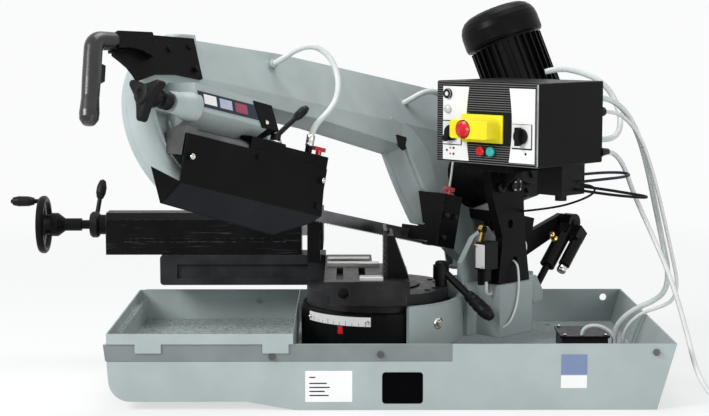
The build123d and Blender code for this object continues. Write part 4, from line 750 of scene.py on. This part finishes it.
# Blank chart plate and cover on the tension housing
HOUSING = face(WHEELS, (0, 0, 118), (1, 0, 0), (0, 1, 0))
CHART = [(-591, 111.7), (-441, 113.6), (-444, 143.1), (-600, 141.4)]
CHART_T, COVER_T = 1.4, 3.2
slab("chart_plate", HOUSING, CHART, 0, CHART_T, "blue_black", "head", 0.4)
for index, (left, look) in enumerate(((-585, "white_print"), (-546, "pale_blue"), (-507, "dull_red"))):
    field = [(left, 118), (left + 31, 118.4), (left + 30, 137.4), (left - 1, 137)]
    slab(f"chart_field_{index}", HOUSING, field, CHART_T, 1.7, look, "head", 0)
COVER_SIDE = [(-442, 99), (-424, 99.5), (-424, 151), (-459, 151)]
slab("housing_cover", HOUSING, COVER_SIDE, 0.2, COVER_T, "black_paint", "head", 0.6)
COVER_END = [(-424.6, 99.6), (-399, 100.5), (-411, 151), (-424.6, 151)]
slab("housing_cover_end", HOUSING, COVER_END, -58, COVER_T, "black_paint", "head", 0.8)
cap_screw("cover_screw", moved(HOUSING, -432, 110, COVER_T), 8, "head")

# Star knob of the blade tension: a hub with its shaft, and three tapering arms
KNOB = face(WHEELS, (-712, 116, 97), (0, -1, 0), (0, 0, 1))
ARM_FOOT = 20.0  # from the axis to the corner between two arms
ARM_HALF = ((12.5, 22), (6.8, 43), (3.2, 48))  # half widths of an arm and their distances from the axis


def star_outline(first_angle, arms=3):
    """Outline of the star: round the hub, and out and back along each arm."""
    outline = []
    for arm in range(arms):
        turn = Matrix.Rotation(radians(first_angle + 360 * arm / arms), 2)
        flank = [turn @ Vector((reach, -half)) for half, reach in ARM_HALF]
        flank += [turn @ Vector((reach, half)) for half, reach in reversed(ARM_HALF)]
        flank.append(turn @ Vector((ARM_FOOT * cos(pi / arms), ARM_FOOT * sin(pi / arms))))
        outline += [tuple(corner) for corner in flank]
    return outline


star = slab("star_knob", KNOB, star_outline(100), -15, 4, "black_plastic", "tension_screw", 3.0)
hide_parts("tension_knob")
HUB = [(0, -150), (9, -150), (9, -60), (15.5, -60), (17, -58.5), (17, -41.5), (15.5, -40), (9, -40), (9, -28),
       (17.5, -28), (19, -26), (19, 5), (17, 7.5), (10, 7.5), (9, 2), (0, 2)]
turned("star_hub", KNOB, HUB, "black_plastic", "tension_screw")

# Clip under the beam of the bow
CLIP = [(72, 206), (70, 181), (56, 172), (43, 179), (40, 206)]
slab("beam_clip", WHEELS, CLIP, 45, 49, "black_plastic", "head", 0.8)

# Screws of the guard, the handle bracket and the guides
GUARD = face(HEAD, (0, -80, 0), (1, 0, 0), (0, 0, 1))
for index, (x, z) in enumerate(((-606, 300), (-268, 312))):
    cap_screw(f"guard_screw_{index}", moved(GUARD, x, z), 11, "guide")
BRACKET = face(WHEELS, (0, 0, 57), (1, 0, 0), (0, 1, 0))
cap_screw("bracket_screw", moved(BRACKET, -540, 222), 9, "head", "black_plastic")
RIGHT_GUIDE = face(HEAD, (0, -90, 0), (1, 0, 0), (0, 0, 1))
for index, (x, z) in enumerate(((106, 300), (134, 300), (106, 252))):
    cap_screw(f"guide_screw_{index}", moved(RIGHT_GUIDE, x, z), 9, "head", "dark_iron")
CLAMP = face(HEAD, (-388, -56, 365), (1, 0, 0), (0, 1, 0))
turned("clamp_ring", CLAMP, [(14, 0), (14, 2.2), (12.6, 3.2), (8, 3.2)], "zinc", "guide")

# The guard's lower part, bent in, drawn as a flat sheet with a painted bluish sheen for its bend, and its
# side flange
GUARD_FRONT = face(HEAD, (0, -76, 0), (1, 0, 0), (0, 0, 1))
LOWER_PART = [(-616, 249.5), (-651, 207.2), (-371, 189.2), (-279, 225), (-252, 242)]
slab("guard_lower_part", GUARD_FRONT, LOWER_PART, 0, 0.5, "guard_sheen", "guide", 0.2)


def three_points(space, first, second, third):
    """A frame on the plane of three points, and the points drawn in it."""
    along = Vector(second) - Vector(first)
    across = Vector(third) - Vector(first)
    right = along.normalized()
    up = (across - right * across.dot(right)).normalized()
    return face(space, first, right, up), [(0, 0), (along.length, 0), (across.dot(right), across.dot(up))]


flange_face, flange_outline = three_points(HEAD, (-654, -74, 206), (-619, -74, 252), (-667, -46, 269))
slab("guard_flange", flange_face, flange_outline, -1, 1, "black_paint", "guide", 0.2)

# Raised lines of the idler part of the casting
LINE_N, LINE_D = 44.6, 5  # their height in the wheel frame, and their thickness
for index, (radius, start, end) in enumerate(((160, 166, 250), (128, 196, 236))):
    line = arc(RIM, radius, start, end, LINE_N)
    held_cord(f"rim_line_{index}", WHEELS, line, LINE_D, "grey_casting", "head")

# Raised band that runs out of the beam and down the inner edge of the drive part, and rises along its way
BAND_ROOT, BAND_FULL = 40.0, 53.0  # heights in the wheel frame
BAND_OUTER = [(32, 249), (72, 240), (101, 226), (124, 202), (139.5, 170), (148, 132), (154, 90)]
BAND_INNER = [(28, 190), (52, 187), (66, 180), (76, 158), (87, 130), (99, 102), (113, 72)]
BAND_SHARE = (0.36, 0.5, 0.75, 0.95, 1, 1, 1)  # of the height, along the band
band_sections = []
for outer, inner, share in zip(BAND_OUTER, BAND_INNER, BAND_SHARE):
    top = BAND_ROOT + (BAND_FULL - BAND_ROOT) * share
    band_sections.append([(*outer, BAND_ROOT), (*outer, top), (*inner, top), (*inner, BAND_ROOT)])
strip("bow_band", WHEELS, band_sections, "grey_casting", "head", bevel=5.0)

# Back of the head: pressed beads and hand knobs of the rear cover
REAR_N, BEAD_D = -24.0, 7.0  # back face of the cover, and thickness of its beads


def rear_line(left, right, steps=12):
    """Points along a straight line on the back of the cover."""
    ends = [Vector((*end, REAR_N)) for end in (left, right)]
    return [ends[0].lerp(ends[1], step / steps) for step in range(steps + 1)]


rear_beads = (
    arc(IDLER, 128, 62, 262, REAR_N), arc(IDLER, 62, 20, 340, REAR_N), arc(DRIVE, 150, -78, 84, REAR_N),
    arc(DRIVE, 62, 20, 340, REAR_N), rear_line((-330, 228), (70, 226)), rear_line((-330, 296), (90, 318)),
)
for index, points in enumerate(rear_beads):
    held_cord(f"rear_bead_{index}", WHEELS, points, BEAD_D, "grey_paint", "head")
REAR_KNOBS = face(WHEELS, (0, 0, -36), (-1, 0, 0), (0, 1, 0))
KNOB_CAP = [(16, -9), (17.5, -7), (17.5, 2), (14, 5), (6, 5), (5, 3.5), (0, 3.5)]
for index, (x, v) in enumerate((IDLER, (-150, 262), DRIVE, (DRIVE[0] + 110, 270), (IDLER[0] - 110, 70))):
    turned(f"cover_knob_{index}", moved(REAR_KNOBS, -x, v), KNOB_CAP, "black_plastic", "head", sides=10)


def box_back(y, z):
    """A frame on the back of the control box."""
    return face(SWIVEL, (BOX_REAR, y, z), (0, 1, 0), (0, 0, 1))


# Lids of the control box and of the motor's terminal box
BOX_LID = box_back(-276.5, 552.5)
BOX_LID_T, TERMINAL_LID_T = 1.2, 4
slab("box_lid", BOX_LID, rounded(-122, 122, -73, 73, 5), 0, BOX_LID_T, "black_paint", "swivel", 0.3)
MOTOR_LEAN, MOTOR_N = radians(20), 176
TERMINAL_REACH = 150 + 112  # from the drive wheel's axis to the motor's, and on to the lid
ACROSS, ALONG = (cos(MOTOR_LEAN), sin(MOTOR_LEAN), 0), (-sin(MOTOR_LEAN), cos(MOTOR_LEAN), 0)
TERMINAL = face(WHEELS, Vector((*DRIVE, MOTOR_N)) + TERMINAL_REACH * Vector(ACROSS), (0, 0, -1), ALONG)
slab("terminal_lid", TERMINAL, rounded(-32, 32, 102, 172, 5), 0, TERMINAL_LID_T, "motor_black", "head", 1)
lid_screws = (
    ("box", BOX_LID, 114, 65, 0, BOX_LID_T, "swivel"),
    ("terminal", TERMINAL, 25, 28, 137, TERMINAL_LID_T, "head"),
)
for name, lid, half_wide, half_high, middle, lift, body in lid_screws:
    for index, (side, end) in enumerate(((-1, -1), (1, -1), (1, 1), (-1, 1))):
        spot = moved(lid, side * half_wide, middle + end * half_high, lift)
        cap_screw(f"{name}_lid_screw_{index}", spot, 6, body)

# Bolts and drain plug in the back wall of the base
PAN_REAR = face(BASE, (0, 346, 0), (-1, 0, 0), (0, 0, 1))
for index, x in enumerate((-420, -140, 140, 420)):
    hex_bolt(f"rear_bolt_{index}", moved(PAN_REAR, x, 104), 12, "base", "dull_steel")
hex_bolt("drain_plug", moved(PAN_REAR, -380, 30), 22, "base")

# Ends of the coolant hose
HOSE_END = face(HEAD, (*NIPPLE, NIPPLE_Z), (1, 0, 0), (0, 1, 0))
FERRULE = [(6.1, 0), (8.6, 0), (8.6, 5), (7.8, 6), (8.6, 7), (8.6, 20), (7.4, 23), (6.1, 23)]
turned("hose_ferrule", HOSE_END, FERRULE, "zinc", "guide")
HOSE_TOP = face(WHEELS, (*HOSE_BOSS, BOSS_N), (1, 0, 0), (0, 1, 0))
turned("hose_gland", HOSE_TOP, [(10, 0), (10, 5), (8.6, 7.5), (6.2, 8)], "grey_casting", "head")

# Glands at the back of the control box, and the taper that protects the mains lead
GLAND = [(11, 0), (11, 9), (9.6, 10.5), (9.6, 17), (7, 19)]
for index, (exit_at, bore) in enumerate(((CONDUIT_EXIT, 6.2), (WIRE_EXIT, 4.2))):
    profile = GLAND + [(bore, GLAND[-1][1])]
    turned(f"box_gland_{index}", box_back(*exit_at), profile, "black_plastic", "swivel", sides=12)
STRAIN_RELIEF = [(11, 0), (11, 4), (8.6, 6), (8.2, 14), (6.4, 30), (5.2, 31)]
turned("lead_strain_relief", box_back(*LEAD_EXIT), STRAIN_RELIEF, "black_plastic", "swivel")


def banding(outside, inside):
    """Outline of a closed band, cut open at a seam."""
    return outside + outside[:1] + inside[:1] + inside[:0:-1]


# Tie round the coil of the mains lead
TIE_HALF, TIE_T = 6.2, 1.2  # half of its inner width, and its thickness
TIE_OUT = TIE_HALF + TIE_T
TIE_LOW = COIL_FOOT + COIL_PITCH / 2 - TIE_HALF
TIE_HIGH = COIL_FOOT + COIL_PITCH * (COIL_TURNS - 0.5) + TIE_HALF
COIL_FACE = face(BASE, (COIL_CENTRE[0], COIL_CENTRE[1] + COIL_R, 0), (0, 1, 0), (0, 0, 1))
tie_outside = rounded(-TIE_OUT, TIE_OUT, TIE_LOW - TIE_T, TIE_HIGH + TIE_T, 5)
tie_inside = rounded(-TIE_HALF, TIE_HALF, TIE_LOW, TIE_HIGH, 4)
slab("coil_tie", COIL_FACE, banding(tie_outside, tie_inside), -5, 5, "black_plastic", "base", 0)

# White front of the limit switch
SWITCH = face(SWIVEL, (112, 0, 0), (0, -1, 0), (0, 0, 1))
SWITCH_T = 1.6
slab("switch_front", SWITCH, rounded(178, 202, 242, 292, 1.5), 0, SWITCH_T, "white_plastic", "swivel", 0.5)
for index, (u, z) in enumerate(((182, 288), (198, 246))):
    cap_screw(f"switch_screw_{index}", moved(SWITCH, u, z, SWITCH_T), 4.5, "swivel")

# Short cords that one body carries: frame, thickness, look, body and points
short_cords = {
    # Lead of the limit switch, and a wire from the post
    "switch_lead": (SWIVEL, 7, "white_cable", "swivel", [
        (126, -195, 216), (126, -195, 200), (128, -194, 188), (140, -190, 182), (156, -188, 184),
    ]),
    "post_wire": (SWIVEL, 5, "white_cable", "swivel", [
        (206, -200, 250), (205, -213, 246), (203, -219, 226), (204, -220, 192), (196, -220, 155),
        (180, -220, 128), (165, -219, 117), (158, -212, 113),
    ]),
    # Hoses that loop out of the junction box, and a thin wire from it back to the post
    "air_loop": (BASE, 6, "blue_black", "swivel", [
        (401, -94, 441), (450, -92, 446), (498, -98, 447), (512, -120, 445), (498, -142, 442),
        (450, -136, 436), (398, -118, 428),
    ]),
    "oil_loop": (BASE, 6, "black_plastic", "swivel", [
        (394, -87, 420), (450, -96, 414), (528, -118, 403), (546, -142, 401), (528, -166, 402),
        (450, -150, 408), (392, -126, 416),
    ]),
    "box_wire": (BASE, 4.5, "black_plastic", "swivel", [
        (396, -112, 424), (434, -110, 424), (446, -104, 408), (420, -92, 390), (366, -56, 368),
        (302, 24, 352),
    ]),
    # Pale conduit over the bow beside the control box, and the clear line down to the right tap
    "bow_conduit": (WHEELS, 13, "white_hose", "head", [
        (100, 298, 24), (112, 306, 44), (136, 322, 64), (170, 326, 74), (200, 310, 66), (216, 292, 50),
        (222, 278, 32),
    ]),
    "tap_line": (HEAD, 5, "clear_line", "head", [
        (121, -70, 362), (121, -70, 384), (124, -66, 410), (132, -58, 434), (142, -44, 452),
    ]),
}
for name, (space, diameter, look, body, points) in short_cords.items():
    held_cord(name, space, points, diameter, look, body)

# Cover over the drain of the right tray, with its hose
DECK = face(BASE, (0, 0, DECK_Z), (1, 0, 0), (0, 1, 0))
COVER_TALL, LID_TOP = 36, 41
slab("drain_cover", DECK, rounded(388, 486, -50, 60, 8), 0, COVER_TALL, "black_plastic", "base", 2)
slab("drain_lid", DECK, rounded(384, 490, -54, 64, 10), COVER_TALL, LID_TOP, "black_paint", "base", 1)
for index, (x, y) in enumerate(((394, -44), (480, -44), (480, 54), (394, 54))):
    cap_screw(f"drain_screw_{index}", moved(DECK, x, y, LID_TOP), 7, "base")
drain_points = [(430, -40, 92), (430, -40, 108), (448, -40, 118), (472, -40, 116), (496, -40, 100),
                (500, -40, 76), (500, -40, DECK_Z)]
held_cord("drain_hose", BASE, drain_points, 8, "white_hose", "base")

# Cap and bolted flange on the post of the control box
POST = face(SWIVEL, (0, -211, 0), (1, 0, 0), (0, 0, 1))
POST_CAP = [(11, 0), (11, 4), (9.5, 6), (5, 6), (4, 4), (0, 4)]
turned("post_cap", moved(POST, 151, 410), POST_CAP, "black_plastic", "swivel")
FLANGE_U, FLANGE_Z, FLANGE_SCREW_R = 201, 411, 11.5
POST_FLANGE = [(15, 0), (15, 3), (8, 5), (7, 3), (0, 3)]
turned("post_flange", moved(POST, FLANGE_U, FLANGE_Z), POST_FLANGE, "dark_iron", "swivel")
for index in range(4):
    angle = pi / 4 + index * pi / 2
    spot = moved(POST, FLANGE_U + FLANGE_SCREW_R * cos(angle), FLANGE_Z + FLANGE_SCREW_R * sin(angle), 3.5)
    cap_screw(f"post_screw_{index}", spot, 5, "swivel")

# Bolt in the skirt, and the damper's brass fitting and bright tank end
SKIRT = face(SWIVEL, (-10.4, -181.6, 141), (0.998, -0.057, 0), (0, 0, 1))
hex_bolt("skirt_bolt", SKIRT, 13, "swivel")
DAMPER_SIDE = face(SWIVEL, (402.8, -162, 271.5), (0, -1, 0), (0.674, 0, 0.738))
FITTING = [(8, 0), (8, 6), (6, 7), (6, 14), (7.5, 14), (7.5, 20), (5, 22), (0, 22)]
turned("damper_fitting", DAMPER_SIDE, FITTING, "brass", "damper_barrel", 20)
TANK_END = face(SWIVEL, (390.6, -192, 212.2), (0, -1, 0), (-0.738, 0, 0.674))
turned("tank_cap", TANK_END, [(10.6, -7.5), (10.6, 8), (9.4, 10), (0, 10)], "zinc", "damper_barrel")

# Painted shade along the front of the base: a darker band, and a painted shadow line at the fold under it
BAND_EDGE = [(-536, 97.5), (140, 97.5), (140, 130.5), (-540, 130.5)]
slab("front_band", FRONT, BAND_EDGE, 0, 0.3, "band_paint", "base", 0)
FOLD_EDGE = [(-533, 96.4), (140, 96.4), (140, 97.5), (-533, 97.5)]
slab("front_fold", FRONT, FOLD_EDGE, 0, 0.25, "fold_shadow", "base", 0)
